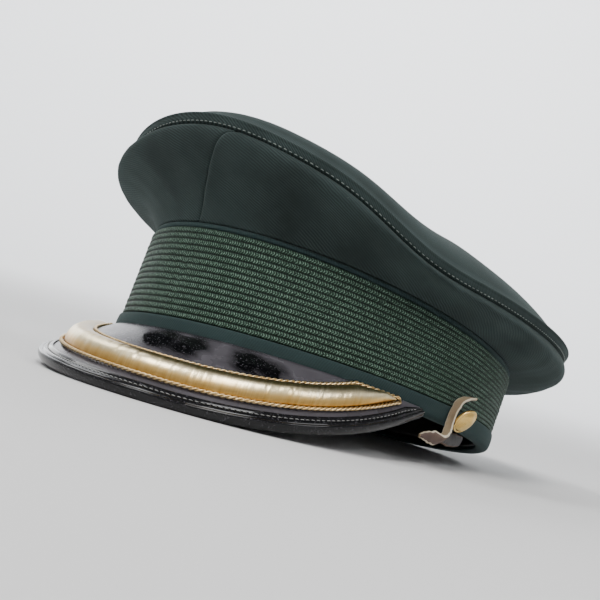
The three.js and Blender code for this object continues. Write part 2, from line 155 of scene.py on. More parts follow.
def closed_mesh(name, points, corners, corner_uv, caps=()):
    """Faces are lists of point numbers. The sum of the volumes under them tells whether they face
    outwards, and all of them are turned round if they don't."""
    flat = points.reshape(-1, 3)
    a, b, c, d = (flat[corners[:, k]] for k in range(4))
    volume = np.einsum("ij,ij->", a, np.cross(b, c)) + np.einsum("ij,ij->", a, np.cross(c, d))
    if volume < 0:
        corners = corners[:, ::-1]
        corner_uv = corner_uv[:, ::-1]
        caps = [cap[::-1] for cap in caps]
    faces = corners.tolist() + [list(cap) for cap in caps]
    mesh = bpy.data.meshes.new(name)
    mesh.from_pydata(flat.tolist(), [], faces)
    layer = mesh.uv_layers.new(name="cloth")
    values = np.zeros((len(mesh.loops), 2), np.float32)
    values[: corner_uv.size // 2] = corner_uv.reshape(-1, 2)
    layer.data.foreach_set("uv", values.ravel())
    mesh.polygons.foreach_set("use_smooth", np.ones(len(mesh.polygons), bool))
    mesh.update()
    piece = bpy.data.objects.new(name, mesh)
    bpy.context.scene.collection.objects.link(piece)
    return piece


def loft(name, grid, uv, goes_round=True, bands=None):
    """grid holds rows along the piece by points round its closed section. Cell (i, j) joins points
    (i, j), (i, j+1), (i+1, j+1) and (i+1, j), with the last section joined to the first where the
    piece goes right round, and with a flat end on each end where it doesn't. uv has one more column
    than the grid, and one more row where it goes round. bands gives each column its material."""
    rows, columns = grid.shape[:2]
    last = rows if goes_round else rows - 1
    i, j = np.meshgrid(np.arange(last), np.arange(columns), indexing="ij")
    across = np.stack([j, j + 1, j + 1, j], axis=-1)
    along = np.stack([i, i, i + 1, i + 1], axis=-1)
    corners = (along % rows) * columns + across % columns
    corner_uv = uv[along, across]
    caps = []
    if not goes_round:
        caps = [list(range(columns))[::-1], [(rows - 1) * columns + k for k in range(columns)]]
    piece = closed_mesh(name, lay_down(grid), corners.reshape(-1, 4), corner_uv.reshape(-1, 4, 2), caps)
    if bands is not None:
        every = np.tile(np.asarray(bands), last)
        every = np.concatenate([every, np.zeros(len(caps), int)])
        piece.data.polygons.foreach_set("material_index", every.astype(np.int32))
    return piece


def section_uv(grid, u, goes_round=True):
    """Flat places for a loft: u is given for each row, with one more where it goes right round, and v
    is the length gone round the section."""
    steps = np.linalg.norm(np.diff(np.concatenate([grid, grid[:, :1]], axis=1), axis=1), axis=-1)
    v = np.concatenate([np.zeros((len(grid), 1)), np.cumsum(steps, axis=1)], axis=1)
    if goes_round:
        v = np.concatenate([v, v[:1]])
    return np.stack(np.broadcast_arrays(np.asarray(u)[:, None], v), axis=-1)


def through(points, count):
    """A smooth line through a few points, as even steps along a Catmull-Rom curve: each stretch is
    the cubic whose slope at a point is half the step between that point's neighbours."""
    points = np.asarray(points, float)
    ends = np.concatenate([2 * points[:1] - points[1:2], points, 2 * points[-1:] - points[-2:-1]])
    t = np.linspace(0, len(points) - 1, count)
    k = np.minimum(t.astype(int), len(points) - 2)
    f = (t - k)[:, None]
    p0, p1, p2, p3 = (ends[k + n] for n in range(4))
    return 0.5 * (2 * p1 + (p2 - p0) * f + (2 * p0 - 5 * p1 + 4 * p2 - p3) * f**2
                  + (3 * p1 - 3 * p2 + p3 - p0) * f**3)


def wander(x, step, seed):
    """A smooth random line with values from -1 to 1: random heights every step, joined by half waves.
    x is a distance in mm or degrees. It repeats only after 4096 steps, so on a ring that closes sooner
    a small step is left where the last point meets the first."""
    heights = np.random.default_rng(seed).uniform(-1, 1, 4096)
    place = np.asarray(x, float) / step
    k = np.floor(place).astype(int)
    f = place - k
    blend = (1 - np.cos(math.pi * f)) / 2
    return heights[k % 4096] * (1 - blend) + heights[(k + 1) % 4096] * blend


def finish_piece(piece, slot, replaced, *materials):
    """Every piece rides on the one body, takes the materials it is given and stands for CAD nodes, which it
    hides. slot is not used.
    """
    for material in materials:
        piece.data.materials.append(material)
    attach(piece, "root")
    if replaced:
        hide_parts(*replaced)
    print(piece.name, len(piece.data.polygons), "faces")
    return piece


# %% [markdown]
# ## Materials, from one small helper
#
# A material here is a short list of nodes. One function adds a node, sets its own settings and fills
# its inputs with numbers, colours or the outputs of other nodes, so each finish below reads from the
# thread or grain up to the shader. Colours are written as sRGB hex, as one reads them off a swatch,
# and one function turns them to the linear values that light is worked out in.

# %% Add a node, read a colour


def linear(hex_code):
    """Each sRGB channel c is ((c + 0.055) / 1.055) to the power 2.4, or c / 12.92 where it is small."""
    channels = np.array([int(hex_code[k:k + 2], 16) for k in (1, 3, 5)]) / 255
    curved = ((channels + 0.055) / 1.055) ** 2.4
    return (*np.where(channels > 0.04045, curved, channels / 12.92).tolist(), 1.0)


def add(tree, kind, inputs=None, **settings):
    """One node: settings are its own, and each input takes a value or the socket that feeds it."""
    node = tree.nodes.new(kind)
    for name, value in settings.items():
        setattr(node, name, value)
    for name, value in (inputs or {}).items():
        if isinstance(value, bpy.types.NodeSocket):
            tree.links.new(value, node.inputs[name])
        else:
            node.inputs[name].default_value = value
    return node


def new_material(name):
    """A material with only its output left, and the tree that the nodes go into."""
    material = bpy.data.materials.new(name)
    material.use_nodes = True
    material.node_tree.nodes.clear()
    print("material", name)
    return material, material.node_tree


def math_of(tree, operation, a, b=0.0, c=0.0):
    """The result of one sum, as a socket."""
    return add(tree, "ShaderNodeMath", {0: a, 1: b, 2: c}, operation=operation).outputs[0]


def noise(tree, place, per_mm, detail=2.0, stretch=(1, 1, 1)):
    """Noise with this many waves in a millimetre. place is in millimetres, or metres times 1000."""
    scaled = add(tree, "ShaderNodeMapping", {"Vector": place, "Scale": stretch})
    made = add(tree, "ShaderNodeTexNoise", {"Vector": scaled.outputs[0], "Scale": per_mm, "Detail": detail})
    return made.outputs["Fac"]


def ramp(tree, factor, stops):
    """Colours or greys along a factor. stops are (place, hex) pairs."""
    node = add(tree, "ShaderNodeValToRGB", {"Fac": factor})
    while len(node.color_ramp.elements) < len(stops):
        node.color_ramp.elements.new(0.5)
    for element, (place, code) in zip(node.color_ramp.elements, stops):
        element.position = place
        element.color = linear(code)
    return node.outputs["Color"]


def mixed(tree, factor, a, b):
    """Colour a where the factor is 0, colour b where it is 1."""
    node = add(tree, "ShaderNodeMix", {"Factor": factor}, data_type="RGBA")
    for socket, value in ((node.inputs[6], a), (node.inputs[7], b)):
        if isinstance(value, str):
            socket.default_value = linear(value)
        else:
            tree.links.new(value, socket)
    return node.outputs[2]


def object_mm(tree):
    """Object coordinates in millimetres."""
    place = add(tree, "ShaderNodeTexCoord").outputs["Object"]
    scaled = add(tree, "ShaderNodeVectorMath", {0: place, 1: (1000, 1000, 1000)}, operation="MULTIPLY")
    return scaled.outputs[0]


def cloth_place(tree):
    """The flat place on the cloth, and its two numbers."""
    place = add(tree, "ShaderNodeUVMap", uv_map="cloth").outputs[0]
    split = add(tree, "ShaderNodeSeparateXYZ", {0: place})
    return place, split.outputs[0], split.outputs[1]


def surface_out(tree, inputs, height=None, relief_mm=0.1, strength=1.0):
    """The shader and the material's output. height is bumped as deep as relief_mm."""
    inputs = dict(inputs)
    if height is not None:
        deep = relief_mm * MM
        bump = add(tree, "ShaderNodeBump", {"Height": height, "Distance": deep, "Strength": strength})
        inputs["Normal"] = bump.outputs[0]
    shader = add(tree, "ShaderNodeBsdfPrincipled", inputs)
    add(tree, "ShaderNodeOutputMaterial", {"Surface": shader.outputs[0]})


# %% [markdown]
# ### Wool twill
#
# The crown is a worsted wool barathea or twill, woven so that fine ribs run slantwise over it. The eye
# gets a dull dark green whose ribs show only where light grazes them, a little fuzz, and small flecks
# of lint. The ribs are drawn 1.15 mm apart, which is what shows of the finer real ones.

# %% Wool twill
TWILL_STEP = 1.15
TWILL_TURN_DEG = 24
WELT_TURN_DEG = 70
LINT = "#a9b0a8"


def make_twill(name, dark, light, turn_deg):
    """The ribs are a sine of the way across them, clearer in some patches than in others."""
    material, tree = new_material(name)
    _, u, v = cloth_place(tree)
    where = object_mm(tree)
    turn = math.radians(turn_deg)
    along = math_of(tree, "MULTIPLY", u, math.sin(turn))
    up = math_of(tree, "MULTIPLY_ADD", v, math.cos(turn), along)
    shake = math_of(tree, "MULTIPLY", noise(tree, where, 0.16, 2), 1.1)
    phase = math_of(tree, "MULTIPLY", math_of(tree, "ADD", up, shake), 2 * math.pi / TWILL_STEP)
    rib = math_of(tree, "MULTIPLY_ADD", math_of(tree, "SINE", phase), 0.5, 0.5)
    patches = noise(tree, where, 0.045, 3)
    clear = math_of(tree, "MULTIPLY_ADD", patches, 1.3, -0.25)
    shown = math_of(tree, "MULTIPLY", rib, clear)
    fuzz = noise(tree, where, 1.7, 3)
    worn = noise(tree, where, 0.02, 2)
    base = mixed(tree, shown, dark, light)
    faded = mixed(tree, math_of(tree, "MULTIPLY_ADD", worn, 0.9, -0.3), base, light)
    lint_at = noise(tree, where, 0.3, 1)
    fleck = math_of(tree, "MULTIPLY", lint_at, math_of(tree, "ADD", fuzz, 0.35))
    lint = math_of(tree, "GREATER_THAN", fleck, 0.86)
    coloured = mixed(tree, math_of(tree, "MULTIPLY", lint, 0.35), faded, LINT)
    ribs_up = math_of(tree, "MULTIPLY", shown, 0.8)
    height = math_of(tree, "ADD", ribs_up, math_of(tree, "MULTIPLY", fuzz, 0.6))
    surface_out(tree, {
        "Base Color": coloured,
        "Roughness": 0.92,
        "Specular IOR Level": 0.25,
        "Sheen Weight": 0.22,
        "Sheen Roughness": 0.45,
        "Sheen Tint": linear("#8fa3a0"),
    }, height, 0.16, 0.8)
    return material


wool_twill = make_twill("wool_twill", "#1b2322", "#3a4746", TWILL_TURN_DEG)
plain_wool = make_twill("plain_wool_welt", "#1d2b2c", "#30403f", WELT_TURN_DEG)

# %% [markdown]
# ### Mohair braid
#
# The band is wrapped in a regimental braid of mohair: fifteen thick ribs, each of two rows of slanted
# stitches that lean against each other like the two halves of a plait. Mohair is glassy. Its colour is
# painted with light: a painted highlight on the high stitches and fine glints, and painted shade that
# leaves the grooves between the ribs nearly black. The stitches are drawn 1.3 mm apart, a little coarser
# than the real ones, so that they show.

# %% Mohair braid
STITCH_STEP = 1.3


def make_mohair():
    """v counts the ribs, so its fraction is the place across one rib. The stitches are a sine along the
    rib whose phase grows away from the rib's middle line, which slants them both ways."""
    material, tree = new_material("mohair_braid")
    _, u, v = cloth_place(tree)
    where = object_mm(tree)
    across = math_of(tree, "FRACT", v)
    off_middle = math_of(tree, "ABSOLUTE", math_of(tree, "SUBTRACT", across, 0.5))
    slant = math_of(tree, "MULTIPLY", off_middle, 1.5)
    shake = math_of(tree, "MULTIPLY", noise(tree, where, 0.7, 2), 0.8)
    phase = math_of(tree, "ADD", math_of(tree, "ADD", math_of(tree, "DIVIDE", u, STITCH_STEP), slant), shake)
    swing = math_of(tree, "SINE", math_of(tree, "MULTIPLY", phase, 2 * math.pi))
    stitch = math_of(tree, "MULTIPLY_ADD", swing, 0.5, 0.5)
    edge = math_of(tree, "POWER", math_of(tree, "MULTIPLY", off_middle, 2), 3)
    body = math_of(tree, "SUBTRACT", 1.0, edge)
    glint = noise(tree, where, 1.5, 3)
    raised = math_of(tree, "MULTIPLY", body, math_of(tree, "MULTIPLY_ADD", stitch, 0.8, 0.2))
    # Painted light: lighter on stitch crests and glints as painted highlight, near black at the rib edges as
    # painted shade.
    tone = math_of(tree, "MULTIPLY", raised, math_of(tree, "MULTIPLY_ADD", glint, 2.0, -0.1))
    colour = ramp(tree, tone, [(0.0, "#09110c"), (0.3, "#172820"), (0.62, "#2f4739"), (1.0, "#6f8b79")])
    height = math_of(tree, "ADD", raised, math_of(tree, "MULTIPLY", glint, 0.25))
    surface_out(tree, {
        "Base Color": colour,
        "Roughness": 0.62,
        "Specular IOR Level": 0.26,
        "Sheen Weight": 0.04,
        "Sheen Roughness": 0.4,
        "Sheen Tint": linear("#9fb5a6"),
    }, height, 0.35, 1.0)
    return material


mohair = make_mohair()

# %% [markdown]
# ### Patent leather
#
# The peak is leather under a hard black varnish. When new it is a mirror. The grey film laid on it is
# partly dust and partly a painted reflection of pale surroundings, and the clear black patches in it are
# painted dark reflections. So the gloss is one shader, and its roughness and the pale film both follow
# one slow, blotchy pattern.

# %% Patent leather
VARNISH = "#08080a"
# Grey of the film: dust, and a painted reflection of pale surroundings.
DUST_AND_REFLECTION_GREY = "#625f65"
CLEAR_ROUGH = 0.07
DUSTY_ROUGH = 0.42
# Balls kept clear of the film, as painted dark reflections in the varnish.
DARK_REFLECTION_SPOTS = [((14, -113.5, 26), 11), ((30, -110, 26.5), 9), ((56, -96, 26.5), 9), ((64, -90, 26), 7)]


def make_patent(name, pale_film, shine, dark_reflection_spots=()):
    """The second argument is how much grey film lies on the varnish, partly dust and partly painted
    reflection, and shine is how strongly it reflects. The last argument holds balls, as a middle and a
    radius in mm, inside which the film is left off as painted dark reflections. Noise makes their borders
    ragged."""
    material, tree = new_material(name)
    where = object_mm(tree)
    ragged = math_of(tree, "MULTIPLY_ADD", noise(tree, where, 0.13, 6, (0.5, 0.9, 1.6)), 16, -8)
    fine = noise(tree, where, 0.5, 4)
    # The film is partly dust and partly painted reflection; the balls below leave painted dark reflections.
    film = math_of(tree, "MULTIPLY_ADD", noise(tree, where, 0.05, 4), 0.9, 0.5)
    for middle, radius in dark_reflection_spots:
        apart = add(tree, "ShaderNodeVectorMath", {0: where, 1: middle}, operation="DISTANCE")
        past = math_of(tree, "SUBTRACT", math_of(tree, "ADD", apart.outputs["Value"], ragged), radius)
        kept = math_of(tree, "MULTIPLY_ADD", past, 0.13, 0.5)
        film = math_of(tree, "MULTIPLY", film, add(tree, "ShaderNodeClamp", {"Value": kept}).outputs[0])
    film = math_of(tree, "MULTIPLY", film, pale_film)
    speck = math_of(tree, "GREATER_THAN", noise(tree, where, 1.1, 2), 0.64)
    dust_and_reflection = math_of(tree, "MAXIMUM", film, math_of(tree, "MULTIPLY", speck, 0.4))
    colour = mixed(tree, dust_and_reflection, VARNISH, DUST_AND_REFLECTION_GREY)
    rough = math_of(tree, "MULTIPLY_ADD", film, DUSTY_ROUGH - CLEAR_ROUGH, CLEAR_ROUGH)
    surface_out(tree, {
        "Base Color": colour,
        "Roughness": rough,
        "IOR": 1.5,
        "Specular IOR Level": shine,
    }, fine, 0.03, 0.5)
    return material


patent = make_patent("patent_leather", 0.62, 0.2, DARK_REFLECTION_SPOTS)
patent_edge = make_patent("patent_leather_binding", 0.02, 0.34)

# %% [markdown]
# ### Plain leather
#
# The sweatband, the peak's underside and the strap are leather without varnish: a dull surface with a
# fine creased grain, paler and drier in patches. The grain is drawn at about one crease a millimetre.

# %% Plain leather
GRAIN_PER_MM = 0.9


def make_leather(name, colour, pale, rough):
    """Plain leather: fine creased grain, with a paler, rougher bloom in patches."""
    material, tree = new_material(name)
    where = object_mm(tree)
    grain = noise(tree, where, GRAIN_PER_MM, 4)
    patch = noise(tree, where, 0.09, 3)
    tone = mixed(tree, math_of(tree, "MULTIPLY_ADD", patch, 1.8, -0.6), colour, pale)
    surface_out(tree, {"Base Color": tone, "Roughness": rough, "Coat Weight": 0.15}, grain, 0.12, 0.8)
    return material


sweat_leather = make_leather("sweatband_leather", "#141111", "#3a3230", 0.34)
peak_lining = make_leather("peak_underside", "#16201b", "#22302a", 0.7)
strap_face = make_leather("strap_face", "#7d6a52", "#bda98a", 0.5)
strap_inside = make_leather("strap_brown_inside", "#463530", "#75604f", 0.75)
strap_torn = make_leather("strap_torn_edge", "#b7a78c", "#ece3d0", 0.9)

# %% [markdown]
# ### Gold thread
#
# The band on the peak is padded, and metal threads are laid side by side across it, so it shines like
# satin: a bright streak along the crest, broken into short strands. The threads are a fine bump across
# the band, drawn 0.75 mm wide. The band's colours are also given over its width, from the upper edge to
# the lower, as a painted highlight that is nearly white on the crest and painted shade towards both edges.

# %% Gold satin thread and gilt metal
THREAD_STEP = 0.75


def make_gold_thread(name, colour, deep, rough, relief, highlight_across=None):
    """The last argument gives colours over the width, as (share, hex) pairs, for a band whose v is a share:
    a painted highlight on the crest and painted shade towards both edges.
    """
    material, tree = new_material(name)
    place, _, v = cloth_place(tree)
    where = object_mm(tree)
    strands = noise(tree, place, 1 / THREAD_STEP, 2, (1, 0.06, 1))
    loose = noise(tree, place, 0.35, 2, (1, 0.12, 1))
    tarnish = noise(tree, where, 0.06, 3)
    shade = math_of(tree, "MULTIPLY_ADD", strands, 0.9, math_of(tree, "MULTIPLY_ADD", tarnish, 0.6, -0.4))
    tone = mixed(tree, shade, deep, colour)
    # The painted highlight and shade across the band multiply the thread's colour.
    if highlight_across:
        wavy = math_of(tree, "MULTIPLY_ADD", loose, 0.16, math_of(tree, "SUBTRACT", v, 0.08))
        tint = ramp(tree, wavy, highlight_across)
        tone = add(tree, "ShaderNodeMix", {"Factor": 1.0, 6: tone, 7: tint}, data_type="RGBA",
                   blend_type="MULTIPLY").outputs[2]
    height = math_of(tree, "ADD", strands, math_of(tree, "MULTIPLY", loose, 1.2))
    surface_out(tree, {
        "Base Color": tone,
        "Metallic": 1.0,
        "Roughness": rough,
    }, height, relief, 0.9)
    return material


# Colours across the gold band: a painted highlight near white on the crest, painted shade towards both
# edges.
PAINTED_HIGHLIGHT_ACROSS = [
    (0.0, "#8a7b50"), (0.38, "#b2a277"), (0.52, "#fffef4"),
    (0.7, "#fffbe8"), (0.84, "#f4d79a"), (1.0, "#b58c46"),
]
gold_satin = make_gold_thread("gold_satin_thread", "#fffaf0", "#e6d2a6", 0.3, 0.07, PAINTED_HIGHLIGHT_ACROSS)
gold_rope = make_gold_thread("gold_rope_thread", "#fff0c8", "#b08845", 0.28, 0.06)


def make_gilt():
    """Gilt brass: a plain rich metal with faint scratches and a duller film in patches."""
    material, tree = new_material("gilt_brass")
    where = object_mm(tree)
    scratch = noise(tree, where, 1.2, 3, (1, 0.2, 1))
    film = noise(tree, where, 0.25, 3)
    tone = mixed(tree, film, "#f3d68e", "#cfa252")
    rough = math_of(tree, "MULTIPLY_ADD", film, 0.25, 0.12)
    surface_out(tree, {"Base Color": tone, "Metallic": 1.0, "Roughness": rough}, scratch, 0.015, 0.6)
    return material


gilt = make_gilt()

# %% [markdown]
# ## Round the head
#
# The band is an oval, longer than it is wide. These few functions give the height of the rim, the
# direction out from the oval, and a point at any angle, distance and height, for whole arrays at once.

# %% The head's oval
HALF_LENGTH = 103
HALF_WIDTH = 86
RIM_SLOPE = 9.9
RIM_RISE = {"at": -58, "wide": 28, "up": 1.8}
BAND_TOP = 44
HEAD_ROUND = 2 * math.pi * math.sqrt((HALF_LENGTH**2 + HALF_WIDTH**2) / 2)


def round_head(count):
    """Angles round the head, even steps, without the last one that would meet the first."""
    return np.arange(count) * 2 * math.pi / count


def turned(angle):
    """The angle in degrees from -180 to 180."""
    return np.degrees(np.arctan2(np.sin(angle), np.cos(angle)))


def rim_height(angle):
    """A slope down towards the front, and a soft rise over a short stretch."""
    across = (turned(angle) - RIM_RISE["at"]) / RIM_RISE["wide"]
    return -RIM_SLOPE * np.cos(angle) + RIM_RISE["up"] * np.exp(-(across**2))


def outwards(angle):
    """The level direction square to the oval: each part of the point divided by its half axis."""
    flat = np.stack([np.sin(angle) / HALF_WIDTH, -np.cos(angle) / HALF_LENGTH, 0 * angle], axis=-1)
    return unit(flat)


def on_head(angle, out, height):
    """The oval's point at the angle, moved out along the oval's normal and set to the height."""
    angle, out, height = np.broadcast_arrays(np.asarray(angle, float), out, height)
    oval = np.stack([HALF_WIDTH * np.sin(angle), -HALF_LENGTH * np.cos(angle), height], axis=-1)
    return oval + outwards(angle) * out[..., None]


def round_uv(count, section_v):
    """Flat places for a ring: the way round the oval in mm, and a given v for each section point."""
    u = np.arange(count + 1) * HEAD_ROUND / count
    v = np.append(section_v, section_v[0])
    return np.stack(np.meshgrid(u, v, indexing="ij"), axis=-1)


def ring(name, section, count, waves=0.0, seed=1):
    """A ring with one section all the way: (out, height over the rim) pairs, with soft waves in it."""
    angle = round_head(count)[:, None]
    section = np.asarray(section, float)
    out = section[:, 0] + waves * wander(np.degrees(angle), 12, seed) + 0 * angle
    height = rim_height(angle) + section[:, 1]
    steps = np.linalg.norm(np.diff(section, axis=0, prepend=section[-1:]), axis=1)
    return loft(name, on_head(angle, out, height), round_uv(count, np.cumsum(steps)))


# %% [markdown]
# ## The band
#
# The wall of the band is stiff canvas under cloth. It is seen only above the braid, as a thin dark lip
# under the crown, and inside the rim. The welt below the braid is a strip of the crown's cloth rolled
# over the edge and under it.

# %% The wall and its lip
BAND_STATIONS = 360
WALL_OUT = -2.1
WALL_IN = -5.2
LIP_OUT = -0.75
WALL_FOOT = 0.3
LIP = [
    (WALL_OUT, 2.5), (LIP_OUT - 0.3, 2.3), (LIP_OUT, 1.4), (LIP_OUT, 0.3), (LIP_OUT - 0.6, 0),
    (WALL_IN + 0.4, 0), (WALL_IN, 0.4),
]
WALL_STEPS = [0, 38, 1, 1, 1, 1, 1, 4, 1]


def make_wall():
    """Up the outer face, over the lip and down the inner face. LIP holds how far out each point is and
    how far under the band's top, and WALL_STEPS the mm of cloth from point to point."""
    angle = round_head(BAND_STATIONS)[:, None]
    foot = rim_height(angle) + WALL_FOOT
    out, under = np.array(LIP).T
    tops = np.broadcast_to(BAND_TOP - under, (BAND_STATIONS, len(LIP)))
    grid = on_head(angle, np.array([WALL_OUT, *out, WALL_IN]), np.concatenate([foot, tops, foot], axis=1))
    return loft("band_wall", grid, round_uv(BAND_STATIONS, np.cumsum(WALL_STEPS)))


finish_piece(make_wall(), "band_cloth", ["band"], plain_wool)

# %% The welt
WELT = [
    (-1.8, 6.6), (-0.6, 7.1), (0.3, 6.9), (0.75, 6.0), (0.95, 4.4), (1.0, 2.8), (0.95, 1.2), (0.5, -0.6),
    (-0.8, -1.7), (-2.6, -2.0), (-4.4, -1.9), (-5.4, -1.4), (-5.4, 0.0), (-3.6, 0.05), (-1.8, 0.1),
]
finish_piece(ring("band_welt_cloth", through(WELT, 44), BAND_STATIONS, 0.12, 4), "band_cloth",
             ["band_welt"], plain_wool)

# %% [markdown]
# ## The braid
#
# Fifteen ribs run round the band, closer together at the back, where the rim is higher. Each rib is a
# real ridge in the mesh, because its groove has to stay dark and its edge shows against the light. At
# the front the ribs are slightly crushed and bowed, as years of handling have left them.

# %% The ribbed braid
BRAID_RIBS = 15
BRAID_FOOT = 7.3
BRAID_TOP = BAND_TOP - 2.6
BRAID_BACK = -1.8
RIB_DEPTH = 0.75
RIB_STEPS = 7
RIB_UNEVEN = 0.12
BRAID_STATIONS = 480
CRUSHED = {
    "at_deg": -1.5, "half_deg": 6.0, "middle": 0.5, "half": 0.28,
    "depth": 1.0, "flatter": 0.35, "bow": 0.25, "bow_rate": 1.3,
}


def make_braid():
    """Each rib is half an ellipse in section. near is a bell that is 1 at the crushed place."""
    angle = round_head(BRAID_STATIONS)[:, None]
    share = np.linspace(0, 1, BRAID_RIBS * RIB_STEPS + 1)
    rib = share * BRAID_RIBS
    across = rib - np.floor(rib)
    crest = np.sqrt(np.clip(1 - (2 * across - 1) ** 2, 0, 1))
    degrees = turned(angle)
    near = np.exp(-((degrees - CRUSHED["at_deg"]) / CRUSHED["half_deg"]) ** 2
                  - ((share - CRUSHED["middle"]) / CRUSHED["half"]) ** 2)
    uneven = RIB_UNEVEN * wander(np.degrees(angle) + 31 * np.floor(rib), 4, 8)
    flatter = 1 - CRUSHED["flatter"] * near
    out = RIB_DEPTH * (crest - 1) * flatter - CRUSHED["depth"] * near + uneven * crest
    foot = rim_height(angle) + BRAID_FOOT
    bow = CRUSHED["bow"] * near * np.sin(degrees * CRUSHED["bow_rate"])
    height = foot + share * (BRAID_TOP - foot) + bow
    front = on_head(angle, out, height)
    back = on_head(angle, BRAID_BACK, np.concatenate([height[:, -1:], height[:, :1]], axis=1))
    grid = np.concatenate([front, back], axis=1)
    return loft("braid_ribs", grid, round_uv(BRAID_STATIONS, np.append(rib, [BRAID_RIBS, 0])))


finish_piece(make_braid(), "braid", ["braid_band"], mohair)

# %% [markdown]
# ## The sweatband
#
# Inside the rim runs a band of thin leather, sewn in along the foot of the wall. It hides the canvas and
# is the part that touches the head. Its section is the same all the way, so one ring makes it.

# %% The sweatband
SWEATBAND = [
    (-5.65, 0.3), (-5.65, 12), (-5.7, 24), (-5.7, 35.6), (-6.2, 36.2), (-6.9, 35.6), (-7.0, 24), (-7.0, 12),
    (-6.9, 3), (-6.7, 0.9), (-6.2, 0.3),
]
finish_piece(ring("sweatband_leather", SWEATBAND, BAND_STATIONS, 0.1, 6), "sweat_leather",
             ["sweatband"], sweat_leather)

# %% [markdown]
# ## The crown
#
# The crown's top is an egg-shaped piece of cloth over a wire, and its side runs from the band out and
# up to the line of stitching under the wire. It is longer than it has to be, so it sags outwards. At
# each angle the side is a cubic curve: one arm says how it leaves the band, the other how it arrives at
# the stitching. Soft dents and swellings are then laid on it.

# %% The stitched line and the side's curve
CROWN_HALF_WIDTH = 100.1
CROWN_HALF_LENGTH = 132.3
CROWN_BACK_SHIFT = 4.4
CROWN_EGG = 0.045
EDGE_MEAN_HEIGHT = 66.3
EDGE_WAVES = [(1, 5.8, -1.1), (2, 7.1, -0.4), (3, 2.2, 1), (4, 0.4, 0.6)]
EDGE_SAGS = [(43.9, 14, 1.8), (65.8, 16, -3.7)]
SEAM_FOOT_DEG = -2.7
SEAM_HEAD_DEG = 12.8
SIDE_FOOT_OUT = -1.2
SIDE_FOOT_UP = 0.3
SIDE_HEAD_UNDER = 0.4
SIDE_LEAVES = {"out": 10.7, "out_front": -2.9, "up": 5.5, "up_front": 7.3}
SIDE_ARRIVES = {"out": 9.1, "out_sides": 3.6, "down": 7.5, "down_front": -4}
DENTS = [
    {"at": 38, "up": 0.35, "wide": 10, "tall": 0.2, "depth": 2.2},
    {"at": 99, "up": 0.42, "wide": 9, "tall": 0.16, "depth": 2.6},
    {"at": -65.6, "up": 0.37, "wide": 40, "tall": 0.25, "depth": 5.5},
    {"at": -50, "up": 0.87, "wide": 26, "tall": 0.25, "depth": -5.1},
    {"at": 128, "up": 0.25, "wide": 9, "tall": 0.2, "depth": 2},
]


def stitched_line(angle):
    """An egg in plan, wider at the front. Its height is a mean, plus waves of one to four turns round
    the head, plus two short stretches that rise or sag."""
    angle = np.asarray(angle, float)
    height = EDGE_MEAN_HEIGHT + 0 * angle
    for waves, cosine, sine in EDGE_WAVES:
        height = height + cosine * np.cos(waves * angle) + sine * np.sin(waves * angle)
    for at, wide, up in EDGE_SAGS:
        height = height + up * np.exp(-(((turned(angle) - at) / wide) ** 2))
    return np.stack([
        CROWN_HALF_WIDTH * np.sin(angle) * (1 + CROWN_EGG * np.cos(angle)),
        CROWN_BACK_SHIFT - CROWN_HALF_LENGTH * np.cos(angle),
        height,
    ], axis=-1)


def dent_depth(angle, up):
    """The sum of the dents: each a soft bell in angle and in height. Under 0 it swells outwards."""
    degrees = turned(angle)
    total = np.zeros(np.broadcast_shapes(degrees.shape, up.shape))
    for dent in DENTS:
        across = (degrees - dent["at"]) / dent["wide"]
        along = (up - dent["up"]) / dent["tall"]
        total = total + dent["depth"] * np.exp(-(across**2) - along**2)
    return total


def side_surface(angle, share):
    """Points on the crown's side, from the band (share 0) to the stitching (share 1). angle and share
    are grids of one shape, because the front seam slants. It is a cubic with two arms."""
    front = np.cos(angle)[..., None]
    sides = np.sin(angle)[..., None] ** 2
    out = outwards(angle)
    up = np.array([0, 0, 1.0])
    foot = on_head(angle, SIDE_FOOT_OUT, BAND_TOP + SIDE_FOOT_UP)
    head = stitched_line(angle) - SIDE_HEAD_UNDER * up
    leaves_out = SIDE_LEAVES["out"] + SIDE_LEAVES["out_front"] * front
    leaves_up = SIDE_LEAVES["up"] + SIDE_LEAVES["up_front"] * front
    arrives_out = SIDE_ARRIVES["out"] + SIDE_ARRIVES["out_sides"] * sides
    arrives_down = SIDE_ARRIVES["down"] + SIDE_ARRIVES["down_front"] * front
    leaves = foot + out * leaves_out + up * leaves_up
    arrives = head + out * arrives_out - up * arrives_down
    t = share[..., None]
    line = foot * (1 - t) ** 3 + 3 * leaves * t * (1 - t) ** 2 + 3 * arrives * t**2 * (1 - t) + head * t**3
    return line - out * dent_depth(angle, share)[..., None]


def side_normal(line):
    """The way up the cloth crossed with the way round the head, which points outwards."""
    return unit(np.cross(np.gradient(line, axis=0), np.gradient(line, axis=1)))


# %% [markdown]
# The two side panels are each a closed sheet, thin as cloth, seamed at the front and the back. Close to
# a seam the cloth turns inwards, which is what makes the seam's soft line.

# %% The two side panels
PANEL_STATIONS = 300
PANEL_STEPS = 40
CLOTH = 1.4
SEAM_HALF = 1.1
SEAM_DEEP = 0.55
SEAM_GAP_DEG = 0.02
SEAM_RADIUS = 110
MM_PER_DEG = 1.95
WRINKLES = [(0.55, 9, 21), (0.25, 4, 22)]
WRINKLE_SLANT_DEG = 24


